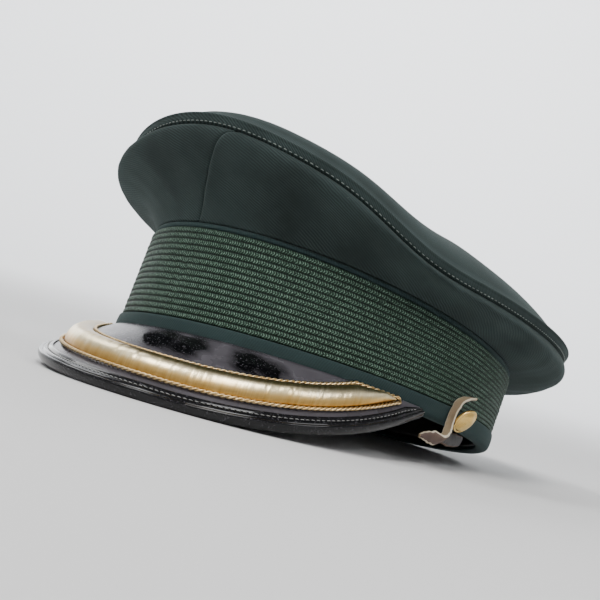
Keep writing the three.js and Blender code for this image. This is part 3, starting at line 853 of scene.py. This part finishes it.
def make_panel(name, from_deg, to_deg):
    """from_deg and to_deg each hold the seam's angle at the band and at the stitching. WRINKLES holds
    each wrinkle's depth in mm, its step in degrees and its seed."""
    share = np.linspace(0, 1, PANEL_STEPS)[None, :]
    first = from_deg[0] + (from_deg[1] - from_deg[0]) * share + SEAM_GAP_DEG
    last = to_deg[0] + (to_deg[1] - to_deg[0]) * share - SEAM_GAP_DEG
    degrees = first + (last - first) * np.linspace(0, 1, PANEL_STATIONS)[:, None]
    share = share + 0 * degrees
    outer = side_surface(np.radians(degrees), share)
    normal = side_normal(outer)
    mm_to_seam = np.radians(np.minimum(degrees - first, last - degrees)) * SEAM_RADIUS
    dip = SEAM_DEEP * np.exp(-((mm_to_seam / SEAM_HALF) ** 2))
    loose = np.sin(math.pi * share)
    for depth, step, seed in WRINKLES:
        dip = dip + depth * loose * wander(degrees + WRINKLE_SLANT_DEG * share, step, seed)
    outer = outer - normal * dip[..., None]
    inner = outer - normal * CLOTH
    grid = np.concatenate([outer, inner[:, ::-1]], axis=1)
    bands = np.repeat([0, 1], [PANEL_STEPS - 1, PANEL_STEPS + 1])
    return loft(name, grid, section_uv(grid, degrees[:, 0] * MM_PER_DEG, False), False, bands)


crown_lining = make_leather("crown_lining", "#101413", "#1c2221", 0.6)
for name, from_deg, to_deg, node in (
    ("crown_panel_left", (SEAM_FOOT_DEG, SEAM_HEAD_DEG), (180, 180), "crown_side_left"),
    ("crown_panel_right", (-180, -180), (SEAM_FOOT_DEG, SEAM_HEAD_DEG), "crown_side_right"),
):
    finish_piece(make_panel(name, from_deg, to_deg), "crown_cloth", [node], wool_twill, crown_lining)

# %% [markdown]
# The top's edge rises straight up from the stitching as a strip, bends over the wire with a small
# ridge, and then runs inwards and sags like a shallow dish.

# %% The top with its edge strip
TOP_STATIONS = 360
TOP_RINGS = 46
CENTRE_HEIGHT = 93.9
DOME = 2.3
PUFF_HIGH = 5.4
PUFF_AT = 0.88
LAST_SHARE = 0.004
LUMP_HIGH = 0.5
LUMP_SLANT_DEG = 40
STRIP_STEPS = 34
STRIP_THIN = 0.75
STRIP_EASE = 8
STRIP = [
    (-0.9, -0.5), (0.4, 0.1), (1.35, 0.9), (1.8, 2.0), (2.0, 3.1), (2.35, 3.7), (2.4, 4.3), (1.9, 4.8),
    (1.0, 5.0), (-0.6, 5.45), (-3.0, 6.1),
]


def top_surface(angle, share):
    """The strip's end is drawn in to the middle in plan, and its height goes over to the middle's as
    the share to a power. Close behind the wire the cloth puffs up, most at the front."""
    line = stitched_line(angle) + outwards(angle) * STRIP[-1][0]
    line[:, 2] += STRIP[-1][1]
    share = share[None, :]
    behind = (1 - share) / (1 - PUFF_AT)
    puff = PUFF_HIGH * (1 + np.cos(angle))[:, None] / 2 * behind * np.exp(1 - behind)
    return np.stack([
        line[:, None, 0] * share,
        CROWN_BACK_SHIFT + (line[:, None, 1] - CROWN_BACK_SHIFT) * share,
        CENTRE_HEIGHT + (line[:, None, 2] - CENTRE_HEIGHT) * share**DOME + puff,
    ], axis=-1)


def make_top():
    """The strip's section goes on into the top. The inner face is a cloth's thickness inside the strip
    and under the top, and goes over from one to the other along the strip's last few points."""
    angle = round_head(TOP_STATIONS)
    profile = through(STRIP, STRIP_STEPS)
    out = outwards(angle)[:, None, :]
    strip = stitched_line(angle)[:, None, :] + out * profile[None, :, :1]
    strip[..., 2] += profile[None, :, 1]
    share = np.linspace(1, LAST_SHARE, TOP_RINGS)[1:]
    top = top_surface(angle, share)
    lumps = LUMP_HIGH * wander(np.degrees(angle)[:, None] + LUMP_SLANT_DEG * share[None, :], 14, 31)
    top[..., 2] += lumps * np.sin(math.pi * share[None, :]) ** 3
    outer = np.concatenate([strip, top], axis=1)
    inner = outer.copy()
    inner[:, STRIP_STEPS:, 2] -= CLOTH
    inner[:, :STRIP_STEPS] -= out * CLOTH * np.linspace(STRIP_THIN, 1, STRIP_STEPS)[None, :, None]
    inner[:, STRIP_STEPS - STRIP_EASE:STRIP_STEPS, 2] -= CLOTH * np.linspace(0, 1, STRIP_EASE)
    grid = np.concatenate([outer[:, ::-1], inner], axis=1)
    flat = np.concatenate([outer[:, ::-1, :2], inner[..., :2]], axis=1)
    up = np.concatenate([outer[:, ::-1, 2:], inner[..., 2:]], axis=1)
    uv = flat + up * 0.8
    uv = np.concatenate([uv, uv[:, :1]], axis=1)
    uv = np.concatenate([uv, uv[:1]])
    bands = np.repeat([0, 1], [outer.shape[1] - 1, inner.shape[1] + 1])
    return loft("crown_top", grid, uv, True, bands)


finish_piece(make_top(), "crown_cloth", ["crown_tip"], wool_twill, crown_lining)

# %% [markdown]
# ## The peak
#
# The peak is a hard sheet that leaves the rim and slopes down. It is worked out along its length, from
# -1 at the wearer's right end to 1 at the left: how far it reaches, how steeply it slopes, and a slight
# belly. It has been bent in use, so it sits a little round to the left and hangs steeper there.

# %% The peak's slope and reach
PEAK_MIDDLE_DEG = 16
PEAK_LEFT_DEG = 81
PEAK_RIGHT_DEG = -76
PEAK_REACH = 51.6
PEAK_END_REACH = 2.5
PEAK_FULLNESS = {"across": 2.08, "left": 1.14, "right": 1.56}
PEAK_SLOPE_DEG = {"middle": 46.9, "ends": -6.9, "left": 8.9}
PEAK_ROOT_OUT = 1.25
PEAK_ROOT_UP = 0.9
PEAK_THICK = 2.2
PEAK_BELLY = 1.4


def peak_reach(along):
    """Full in the middle and short at both ends, and fuller towards the wearer's left."""
    power = np.where(along > 0, PEAK_FULLNESS["left"], PEAK_FULLNESS["right"])
    fullness = np.clip(1 - np.abs(along) ** PEAK_FULLNESS["across"], 0, 1) ** power
    return PEAK_END_REACH + (PEAK_REACH - PEAK_END_REACH) * fullness


def peak_slope(along):
    """The slope in the middle, plus a part that grows to both ends, plus a part that grows to the left."""
    ends = PEAK_SLOPE_DEG["ends"] * along**2
    return np.radians(PEAK_SLOPE_DEG["middle"] + ends + PEAK_SLOPE_DEG["left"] * along)


def on_peak(along, down, over):
    """A point so far down the slope from the root and so far over the upper face. The belly lifts it
    by a half wave of the way down."""
    half = np.where(along > 0, PEAK_LEFT_DEG - PEAK_MIDDLE_DEG, PEAK_MIDDLE_DEG - PEAK_RIGHT_DEG)
    angle = np.radians(PEAK_MIDDLE_DEG + along * half)
    slope = peak_slope(along)
    reach = peak_reach(along)
    share = np.clip(down / reach, 0, 1)
    lift = over + PEAK_BELLY * np.sin(math.pi * share) * reach / PEAK_REACH
    out = PEAK_ROOT_OUT + down * np.cos(slope) + lift * np.sin(slope)
    drop = down * np.sin(slope) - lift * np.cos(slope)
    return on_head(angle, out, rim_height(angle) + PEAK_ROOT_UP - drop)


def along_peak(count, first=-1.0, last=1.0):
    """Even places along the peak, one in a row."""
    return np.linspace(first, last, count)[:, None]


# %% The peak and its underside
PEAK_STATIONS = 300
PEAK_STEPS = 26
PEAK_TIP = 0.3
PEAK_HALF_ROUND = 140


def make_peak():
    """An upper and a lower face. The lower one starts further down, so that the root is cut upright."""
    along = along_peak(PEAK_STATIONS)
    reach = peak_reach(along)
    share = np.linspace(0, 1, PEAK_STEPS)[None, :]
    upper = on_peak(along, share * reach, 0 * share)
    cut = np.minimum(PEAK_THICK * np.tan(peak_slope(along)), reach - PEAK_TIP)
    lower = on_peak(along, cut + share[:, ::-1] * (reach - cut), 0 * share - PEAK_THICK)
    grid = np.concatenate([upper, lower], axis=1)
    bands = np.repeat([0, 1], PEAK_STEPS)
    return loft("peak_leather", grid, section_uv(grid, along[:, 0] * PEAK_HALF_ROUND, False), False, bands)


finish_piece(make_peak(), "patent_leather", ["peak"], patent, peak_lining)

# %% [markdown]
# ## The binding
#
# A strip of the same leather is folded round the peak's edge and stitched through. On top it lies as a
# flat band with the row of stitches in it, then a groove, then the glossy roll of the edge itself.

# %% The rolled binding
BINDING_LEG = 5
BINDING_HALF_ROUND = 160
BINDING_UNEVEN = 0.06
BINDING_POINTS = 73
BINDING = [
    (-1, 0.32), (-1.02, 0.8), (-0.95, 1.15), (-0.75, 1.2), (-0.5, 1.0), (-0.3, 1.25), (-0.12, 1.3),
    (0.25, 1.0), (0.6, 1.6), (1.3, 1.95), (2.1, 1.6), (2.8, 0.6), (3.1, -0.9), (2.8, -2.5), (1.9, -3.8),
    (0.5, -4.3), (-0.4, -4.1), (-0.8, -3.7), (-1.0, -3.3), (-1.0, -2.55), (-0.4, -2.55), (0.35, -2.55),
    (0.35, -1.1), (0.35, 0.32), (-0.4, 0.32),
]


def on_edge(along, past, over):
    """A point on the binding. Under 0, past is a share of the leg, which shortens towards the ends."""
    reach = peak_reach(along)
    leg = np.minimum(BINDING_LEG, reach / 2)
    return on_peak(along, reach + np.where(past < 0, past * leg, past), over)


def make_binding():
    """One closed section carried along the peak's edge, over its top and under it."""
    along = along_peak(PEAK_STATIONS)
    profile = through(BINDING + BINDING[:1], BINDING_POINTS + 1)[:-1]
    over = profile[:, 1] + BINDING_UNEVEN * wander(along * PEAK_HALF_ROUND, 5, 41)
    grid = on_edge(along, profile[:, 0] + 0 * along, over)
    return loft("binding_roll", grid, section_uv(grid, along[:, 0] * BINDING_HALF_ROUND, False), False)


finish_piece(make_binding(), "binding_leather", ["peak_binding"], patent_edge)

# %% [markdown]
# ## The padded gold band
#
# Embroiderers lay a core of felt or string and cover it with metal thread. The band is a fat crescent
# on the peak: its section is a half wave, made rounder by a power below one, with a little unevenness.
# It is packed hard, and no loose cloth is simulated.

# %% The gold band
BULLION_FROM_EDGE = 10.9
BULLION_WIDE = 15.2
BULLION_FROM_ROOT = 2.2
BULLION_LEFT_TIP = 0.86
BULLION_RIGHT_TIP = -0.8
BULLION_NEARER = {"left": 1.9, "right": 5}
BULLION_HIGH = 4.4
BULLION_FULL_WIDTH = 7
BULLION_ROUND = 0.72
BULLION_LUMP = 0.1
BULLION_OVER = 0.5
BULLION_UNDER = 0.35
BULLION_HALF_ROUND = 150
BULLION_STATIONS = 700


def bullion_span(along):
    """Where the band's two edges run, down from the root. Towards the ends it nears the peak's edge."""
    nearer = np.where(along > 0, BULLION_NEARER["left"], BULLION_NEARER["right"])
    outer = peak_reach(along) - BULLION_FROM_EDGE + nearer * along**4
    inner = np.maximum(BULLION_FROM_ROOT, outer - BULLION_WIDE)
    return inner, outer


def make_gold_band():
    """A half wave to a power, on a flat base just over the peak. Where the band is narrow it is lower."""
    along = along_peak(BULLION_STATIONS, BULLION_RIGHT_TIP, BULLION_LEFT_TIP)
    inner, outer = bullion_span(along)
    wide = outer - inner
    high = BULLION_HIGH * np.minimum(1, wide / BULLION_FULL_WIDTH)
    share = np.linspace(0, 1, 30)[None, :]
    gone = along * BULLION_HALF_ROUND
    lumps = BULLION_LUMP * wander(gone, 1.5, 51) + BULLION_LUMP * wander(gone, 7, 52)
    arch = np.sin(math.pi * share) ** BULLION_ROUND
    upper = on_peak(along, inner + share * wide, BULLION_OVER + (high + lumps) * arch)
    lower = on_peak(along, inner + share[:, ::-1] * wide, 0 * share + BULLION_UNDER)
    grid = np.concatenate([upper, lower], axis=1)
    v = np.concatenate([share[0], share[0, ::-1], [0]])
    flat = np.stack(np.meshgrid(gone[:, 0], v, indexing="ij"), axis=-1)
    return loft("gold_band", grid, flat, False)


finish_piece(make_gold_band(), "gold_thread", ["bullion_band"], gold_satin)

# %% [markdown]
# ## The gold rope
#
# A two-strand rope is couched round the band. A strand is a thin tube carried along the path while it
# turns about it: its place is the path plus a small circle whose angle grows with the length gone.

# %% The twisted rope
ROPE_RADIUS = 0.95
ROPE_STRANDS = 2
ROPE_TURN = 5.6
ROPE_SIDES = 8
ROPE_CLEAR = 0.35
ROPE_SUNK = 0.75
ROPE_NEARER = 0.5
ROPE_TIP = 0.018
ROPE_STEP = 0.4
STRAND_OUT = 0.48
STRAND_THICK = 0.56
STRAND_ROUND = 3.3


def rope_path():
    """Along the outer edge, round the tip, back along the inner edge and round the other tip, then
    evened out to steps of ROPE_STEP. The middle of the inner edge is sunk towards the peak."""
    clear = ROPE_RADIUS + ROPE_CLEAR
    run = along_peak(400, BULLION_RIGHT_TIP, BULLION_LEFT_TIP)
    outer = on_peak(run, bullion_span(run)[1] + clear, clear + 0 * run)[:, 0]
    sunk = ROPE_SUNK * (1 - np.clip(np.abs(run[::-1]) / 0.7, 0, 1) ** 6)
    inner = on_peak(run[::-1], bullion_span(run[::-1])[0] - clear + ROPE_NEARER, clear - sunk)[:, 0]
    turn = np.linspace(0, math.pi, 14)[1:-1]
    ends = []
    for side, tip in ((1, BULLION_LEFT_TIP), (-1, BULLION_RIGHT_TIP)):
        low, high = bullion_span(np.array([tip]))
        along = tip + side * ROPE_TIP * np.sin(turn)
        down = (low + high) / 2 + side * ((high - low) / 2 + clear) * np.cos(turn)
        ends.append(on_peak(along, down, clear + 0 * turn))
    path = np.concatenate([outer, ends[0], inner, ends[1]])
    closed = np.concatenate([path, path[:1]])
    gone = np.concatenate([[0], np.cumsum(np.linalg.norm(np.diff(closed, axis=0), axis=1))])
    count = int(gone[-1] / ROPE_STEP)
    even = np.linspace(0, gone[-1], count, endpoint=False)
    return np.stack([np.interp(even, gone, closed[:, k]) for k in range(3)], axis=-1), gone[-1]


def tube_sides(path):
    """Two directions square to the way along a closed path."""
    way = unit(np.roll(path, -1, axis=0) - np.roll(path, 1, axis=0))
    side = unit(np.cross(way, [0, -0.6, 0.8]))
    return side, np.cross(side, way)


def make_strand(name, path, length, start):
    """A tube whose middle circles the path once in each ROPE_TURN, from the angle start."""
    turns = round(length / ROPE_TURN)
    phase = start + np.linspace(0, turns * 2 * math.pi, len(path), endpoint=False)
    side, rise = tube_sides(path)
    offset = (side * np.cos(phase)[:, None] + rise * np.sin(phase)[:, None]) * ROPE_RADIUS * STRAND_OUT
    middle = path + offset
    side, rise = tube_sides(middle)
    around = np.arange(ROPE_SIDES) * 2 * math.pi / ROPE_SIDES
    grid = middle[:, None, :] + ROPE_RADIUS * STRAND_THICK * (
        side[:, None, :] * np.cos(around)[None, :, None] + rise[:, None, :] * np.sin(around)[None, :, None])
    u = np.linspace(0, length, len(path) + 1)
    v = np.linspace(0, STRAND_ROUND, ROPE_SIDES + 1)
    return loft(name, grid, np.stack(np.meshgrid(u, v, indexing="ij"), axis=-1))


path, length = rope_path()
for k in range(ROPE_STRANDS):
    strand = make_strand(f"gold_rope_{k + 1}", path, length, k * math.pi)
    finish_piece(strand, "gold_thread", ["bullion_cord"], gold_rope)

# %% [markdown]
# ## Stitches
#
# A topstitch is a short fat dash of thread that dives in at both ends. One dash has a few faces only,
# because there are hundreds: each is a few small rings of points that taper towards both ends.

# %% Rows of stitches
STITCH_RINGS = 5
STITCH_SIDES = 6
STITCH_POINTS = STITCH_RINGS * STITCH_SIDES


def stitches(name, starts, ends, up, width, tall):
    """Each stitch is five rings of six points from start to end, thick in the middle and thin at the
    ends, whose crest stands up along the surface's normal."""
    t = np.array([0.0, 0.12, 0.5, 0.88, 1.0])
    fat = np.array([0.25, 0.8, 1.0, 0.8, 0.25])
    crest = np.array([-0.6, 0.3, 0.6, 0.3, -0.6])
    around = np.arange(STITCH_SIDES) * 2 * math.pi / STITCH_SIDES
    way = unit(ends - starts)
    side = np.cross(way, up)
    middle = starts[:, None, :] + (ends - starts)[:, None, :] * t[None, :, None]
    middle = middle + up[:, None, :] * crest[None, :, None] * tall
    grid = middle[:, :, None, :] + fat[None, :, None, None] * (
        side[:, None, None, :] * np.cos(around)[:, None] * width / 2
        + up[:, None, None, :] * np.sin(around)[:, None] * tall / 2)
    count = len(starts)
    j, k = np.meshgrid(np.arange(STITCH_RINGS - 1), np.arange(STITCH_SIDES), indexing="ij")
    here = j * STITCH_SIDES
    there = here + STITCH_SIDES
    after = (k + 1) % STITCH_SIDES
    cell = np.stack([here + k, here + after, there + after, there + k], axis=-1)
    corners = (np.arange(count)[:, None, None] * STITCH_POINTS + cell.reshape(1, -1, 4)).reshape(-1, 4)
    both_ends = (range(STITCH_SIDES)[::-1], range(STITCH_POINTS - STITCH_SIDES, STITCH_POINTS))
    caps = [[n * STITCH_POINTS + m for m in end] for n in range(count) for end in both_ends]
    uv = np.zeros((len(corners), 4, 2))
    return closed_mesh(name, lay_down(grid.reshape(-1, 3)), corners, uv, caps)


def evenly(curve, step, gap):
    """Where dashes start and end along a curve of many points, a step apart and with gaps between."""
    gone = np.concatenate([[0], np.cumsum(np.linalg.norm(np.diff(curve, axis=0), axis=1))])
    starts = np.arange(0, gone[-1] - step, step)
    places = (starts, starts + step - gap)
    return [np.stack([np.interp(place, gone, curve[:, k]) for k in range(3)], axis=-1) for place in places]


def make_thread(name, dark, light):
    """Spun thread: pale and dark in turn, stitch by stitch."""
    material, tree = new_material(name)
    where = object_mm(tree)
    tone = mixed(tree, noise(tree, where, 0.12, 1), dark, light)
    twist = noise(tree, where, 3.0, 2)
    surface_out(tree, {"Base Color": tone, "Roughness": 0.6, "Sheen Weight": 0.2}, twist, 0.05, 0.6)
    return material


crown_thread = make_thread("crown_thread", "#36413d", "#8b958e")
binding_thread = make_thread("binding_thread", "#6e706e", "#d0d0cc")

# %% The crown's stitches
CROWN_STITCH_STEP = 2.7
CROWN_STITCH_OUT = 1.1
CROWN_STITCH_UP = 0.75
STITCH_GAP = 0.9


def make_crown_stitches():
    """Dashes along the foot of the edge strip, facing outwards from the crown's middle."""
    angle = np.radians(np.linspace(0, 360, 1500))
    curve = stitched_line(angle) + outwards(angle) * CROWN_STITCH_OUT
    curve[:, 2] += CROWN_STITCH_UP
    starts, ends = evenly(curve, CROWN_STITCH_STEP, STITCH_GAP)
    out = unit(starts - [0, CROWN_BACK_SHIFT, 0])
    up = unit(np.stack([out[:, 0], out[:, 1], 0.1 + 0 * out[:, 0]], axis=-1))
    return stitches("crown_stitches", starts, ends, up, 0.48, 0.45)


finish_piece(make_crown_stitches(), "crown_cloth", [], crown_thread)

# %% The binding's stitches
BINDING_STITCH_STEP = 2.6
BINDING_STITCH_AT = -0.5
BINDING_STITCH_OVER = 1.1


def make_binding_stitches():
    """Dashes along the middle of the leg. A second line, 1 mm higher, gives the way up."""
    along = np.linspace(-0.97, 0.97, 1500)
    curve = on_edge(along, 0 * along + BINDING_STITCH_AT, BINDING_STITCH_OVER + 0 * along)
    over = on_edge(along, 0 * along + BINDING_STITCH_AT, BINDING_STITCH_OVER + 1 + 0 * along)
    starts, ends = evenly(curve, BINDING_STITCH_STEP, STITCH_GAP)
    lifted, _ = evenly(over, BINDING_STITCH_STEP, STITCH_GAP)
    count = min(len(starts), len(lifted))
    up = unit(lifted[:count] - starts[:count])
    return stitches("binding_stitches", starts[:count], ends[:count], up, 0.55, 0.45)


finish_piece(make_binding_stitches(), "binding_leather", [], binding_thread)

# %% [markdown]
# ## The side buttons
#
# A cap button is stamped: a thin dome with a rolled rim, on a short shank. It is a profile spun round
# its own axis, and its dome is left plain.

# %% Buttons
BUTTON_STATIONS = 72
BUTTON_PROFILE = [
    (0.02, -2.6), (1.4, -2.6), (1.5, -2.4), (1.5, -1.1), (1.8, -0.85), (4.0, -0.75), (5.6, -0.6),
    (6.3, -0.25), (6.65, 0.35), (6.6, 0.95), (6.2, 1.35), (5.75, 1.3), (5.55, 1.35), (4.9, 2.0),
    (3.9, 2.6), (2.5, 3.1), (1.2, 3.35), (0.02, 3.4),
]


def make_button(name, place, faces):
    """BUTTON_PROFILE holds radius and height pairs, from the shank's foot to the top of the dome."""
    axis = unit(np.array(faces))
    side = unit(np.cross(axis, [0.3, 0.9, 0.1]))
    third = np.cross(axis, side)
    profile = through(BUTTON_PROFILE, 64)
    turn = round_head(BUTTON_STATIONS)[:, None, None]
    radius = profile[None, :, :1]
    grid = (np.array(place) + radius * (side * np.cos(turn) + third * np.sin(turn))
            + profile[None, :, 1:] * axis)
    return loft(name, grid, section_uv(grid, np.arange(BUTTON_STATIONS + 1)))


for name, place, faces in (
    ("button_left", (92.3, 9.3, 3.4), (0.824, 0.184, -0.535)),
    ("button_right", (-89.6, 9, 5), (-1, 0.08, 0)),
):
    finish_piece(make_button(name + "_gilt", place, faces), "button_metal", [name], gilt)

# %% [markdown]
# ## The torn chin strap
#
# A scrap of the chin strap is still held under the button. It is a ribbon of leather that curls up
# behind the button and down past it, with a varnished face, a brown inside and pale ragged edges. A
# second, darker bit of it runs on under the button.

# %% The strap's torn end
STRAP_THICK = 1.5
STRAP_STATIONS = 90
STRAP_POINTS = 13
STRAP_CUP = 0.5
STRAP_MM = 0.5
STRAP_STUB = [
    ((90.6, 12.6, 15.2), (5.4, 0, 0)),
    ((90.6, 8.2, 13.4), (6.2, 0, 0)),
    ((90.6, 4.4, 9.8), (5.6, 0, 0)),
    ((90.7, 2.6, 4.4), (5.0, 0, 0)),
    ((90.7, 2.4, -1.4), (5.0, 0, 0)),
    ((90.8, 2.2, -6), (5.4, 0, 1.5)),
    ((90.8, 0.6, -9.4), (4.6, 0, 4.4)),
    ((90.4, -4.2, -10.6), (1.6, 0, 7.4)),
    ((89.6, -9, -11.4), (0.3, 0, 5.4)),
    ((89.2, -13.6, -13), (0, 0, 2.0)),
]
STRAP_ROOT = [
    ((87.1, 18, -4.8), (0, 1.5, 6)),
    ((87.6, 11, -6.4), (0, 1.2, 7.4)),
    ((88, 4.6, -7.4), (0, 0.4, 6.4)),
]


def make_ribbon(name, table, seed, ragged):
    """A smooth middle line and a smooth width, with torn edges that wander in and out. The three
    materials are the face, the inside and, along both edges, the torn leather."""
    middle = through([at for at, _ in table], STRAP_STATIONS)
    across = through([width for _, width in table], STRAP_STATIONS)
    way = unit(np.gradient(middle, axis=0))
    through_way = unit(np.cross(way, across))
    share = np.linspace(-0.5, 0.5, STRAP_POINTS)[None, :, None]
    steps = np.arange(STRAP_STATIONS)
    frayed = 1 - ragged * (0.5 + 0.5 * wander(steps, 3, seed)[:, None, None] * np.sign(share))
    sheet = middle[:, None, :] + across[:, None, :] * share * frayed
    cupped = (4 * share**2 - 0.5) * STRAP_CUP
    half = STRAP_THICK / 2 * (1 - 0.5 * (2 * np.abs(share)) ** 4)
    face = sheet + through_way[:, None, :] * (half + cupped)
    inside = sheet + through_way[:, None, :] * (cupped - half)
    grid = np.concatenate([face, inside[:, ::-1]], axis=1)
    bands = np.repeat([2, 0, 2, 1, 2], [1, STRAP_POINTS - 3, 3, STRAP_POINTS - 3, 2])
    return loft(name, grid, section_uv(grid, steps * STRAP_MM, False), False, bands)


finish_piece(make_ribbon("strap_torn_end", STRAP_STUB, 61, 0.25), "strap_leather", ["strap_stub"],
             strap_face, strap_inside, strap_torn)
finish_piece(make_ribbon("strap_under_button", STRAP_ROOT, 62, 0.15), "strap_leather", ["strap_root"],
             strap_inside, sweat_leather, strap_inside)

# %% [markdown]
# ## Floor and light
#
# The photo was taken against a pale grey sweep in soft light. The floor here is one round dish: flat
# far past the cap, then rising all the way round, so no edge shows whichever way one looks.
#
# The key stands to the right in front. Five weaker lights stand in an arc over the peak, so that their
# reflections join into the one bright streak along the gold band. The last light is turned to the dish
# behind the cap, and its narrow spread keeps it off the cap. A weak even sky fills the shadows.

# %% The pale sweep
FLAT_RADIUS = 1.6
SWEEP_RADIUS = 1.6
SWEEP_TOP = 3.2
PAPER = "#e2e2e2"


def make_sweep():
    """A flat disc, then a quarter circle up to a short upright wall, spun round the cap."""
    turn = round_head(96)[:, None]
    curve = np.linspace(0, math.pi / 2, 16)
    bend = FLAT_RADIUS + SWEEP_RADIUS * np.sin(curve)
    radius = np.concatenate([[0.001, 0.4, 0.9, 1.3], bend, bend[-1:]])
    height = np.concatenate([[0, 0, 0, 0], SWEEP_RADIUS * (1 - np.cos(curve)), [SWEEP_TOP]])
    grid = np.stack([radius * np.sin(turn), radius * np.cos(turn), height + 0 * turn], axis=-1)
    rows, columns = grid.shape[:2]
    i, j = np.meshgrid(np.arange(rows), np.arange(columns - 1), indexing="ij")
    here = i * columns + j
    there = ((i + 1) % rows) * columns + j
    corners = np.stack([here, there, there + 1, here + 1], axis=-1).reshape(-1, 4)
    mesh = bpy.data.meshes.new("pale_sweep")
    mesh.from_pydata(grid.reshape(-1, 3).tolist(), [], corners.tolist())
    mesh.polygons.foreach_set("use_smooth", np.ones(len(mesh.polygons), bool))
    sweep = bpy.data.objects.new("pale_sweep", mesh)
    bpy.context.scene.collection.objects.link(sweep)
    material, tree = new_material("pale_paper")
    surface_out(tree, {"Base Color": linear(PAPER), "Roughness": 0.9})
    mesh.materials.append(material)
    print("sweep", len(mesh.polygons), "faces")


make_sweep()

# %% Soft lights
SKY = "#e9edf0"
SKY_STRENGTH = 0.25
LIGHTS = [
    ("key", (0.9, -1.3, 2.0), (0, 0, 0), 0.9, 18, "#fffaf4", 180),
    ("streak_low", (-1.5, 0.5, 0.4), (0, 0, 0), 0.5, 1.5, "#ffffff", 180),
    ("streak_left", (-1.15, -0.1, 1.05), (0, 0, 0), 0.5, 3.5, "#ffffff", 180),
    ("streak_front", (-0.42, -0.9, 1.3), (0, 0, 0), 0.5, 10, "#ffffff", 180),
    ("streak_over", (0.45, -0.5, 1.45), (0, 0, 0), 0.5, 8, "#ffffff", 180),
    ("streak_right", (1.15, 0.13, 1.1), (0, 0, 0), 0.5, 5, "#ffffff", 180),
    ("wall_wash", (-0.7, 0.7, 2.8), (-2.2, 2.3, 1.0), 1.0, 112, "#f8fbff", 120),
]


def make_lights():
    """Each light is a square that faces the point it aims at. The table gives its name, place, aim, side
    in metres, watts, colour and spread in degrees."""
    for name, place, aim, size, power, colour, spread in LIGHTS:
        data = bpy.data.lights.new(name, "AREA")
        data.size = size
        data.energy = power
        data.spread = math.radians(spread)
        data.color = linear(colour)[:3]
        light = bpy.data.objects.new(name, data)
        back = unit(np.array(place) - aim)
        side = unit(np.cross([0, 0, 1], back))
        matrix = np.eye(4)
        matrix[:3, :3] = np.stack([side, np.cross(back, side), back], axis=1)
        matrix[:3, 3] = place
        light.matrix_world = Matrix(matrix.tolist())
        bpy.context.scene.collection.objects.link(light)
    world = bpy.data.worlds.new("soft_room")
    world.use_nodes = True
    sky = world.node_tree.nodes["Background"]
    sky.inputs["Color"].default_value = linear(SKY)
    sky.inputs["Strength"].default_value = SKY_STRENGTH
    bpy.context.scene.world = world
    print(len(LIGHTS), "lights")


make_lights()
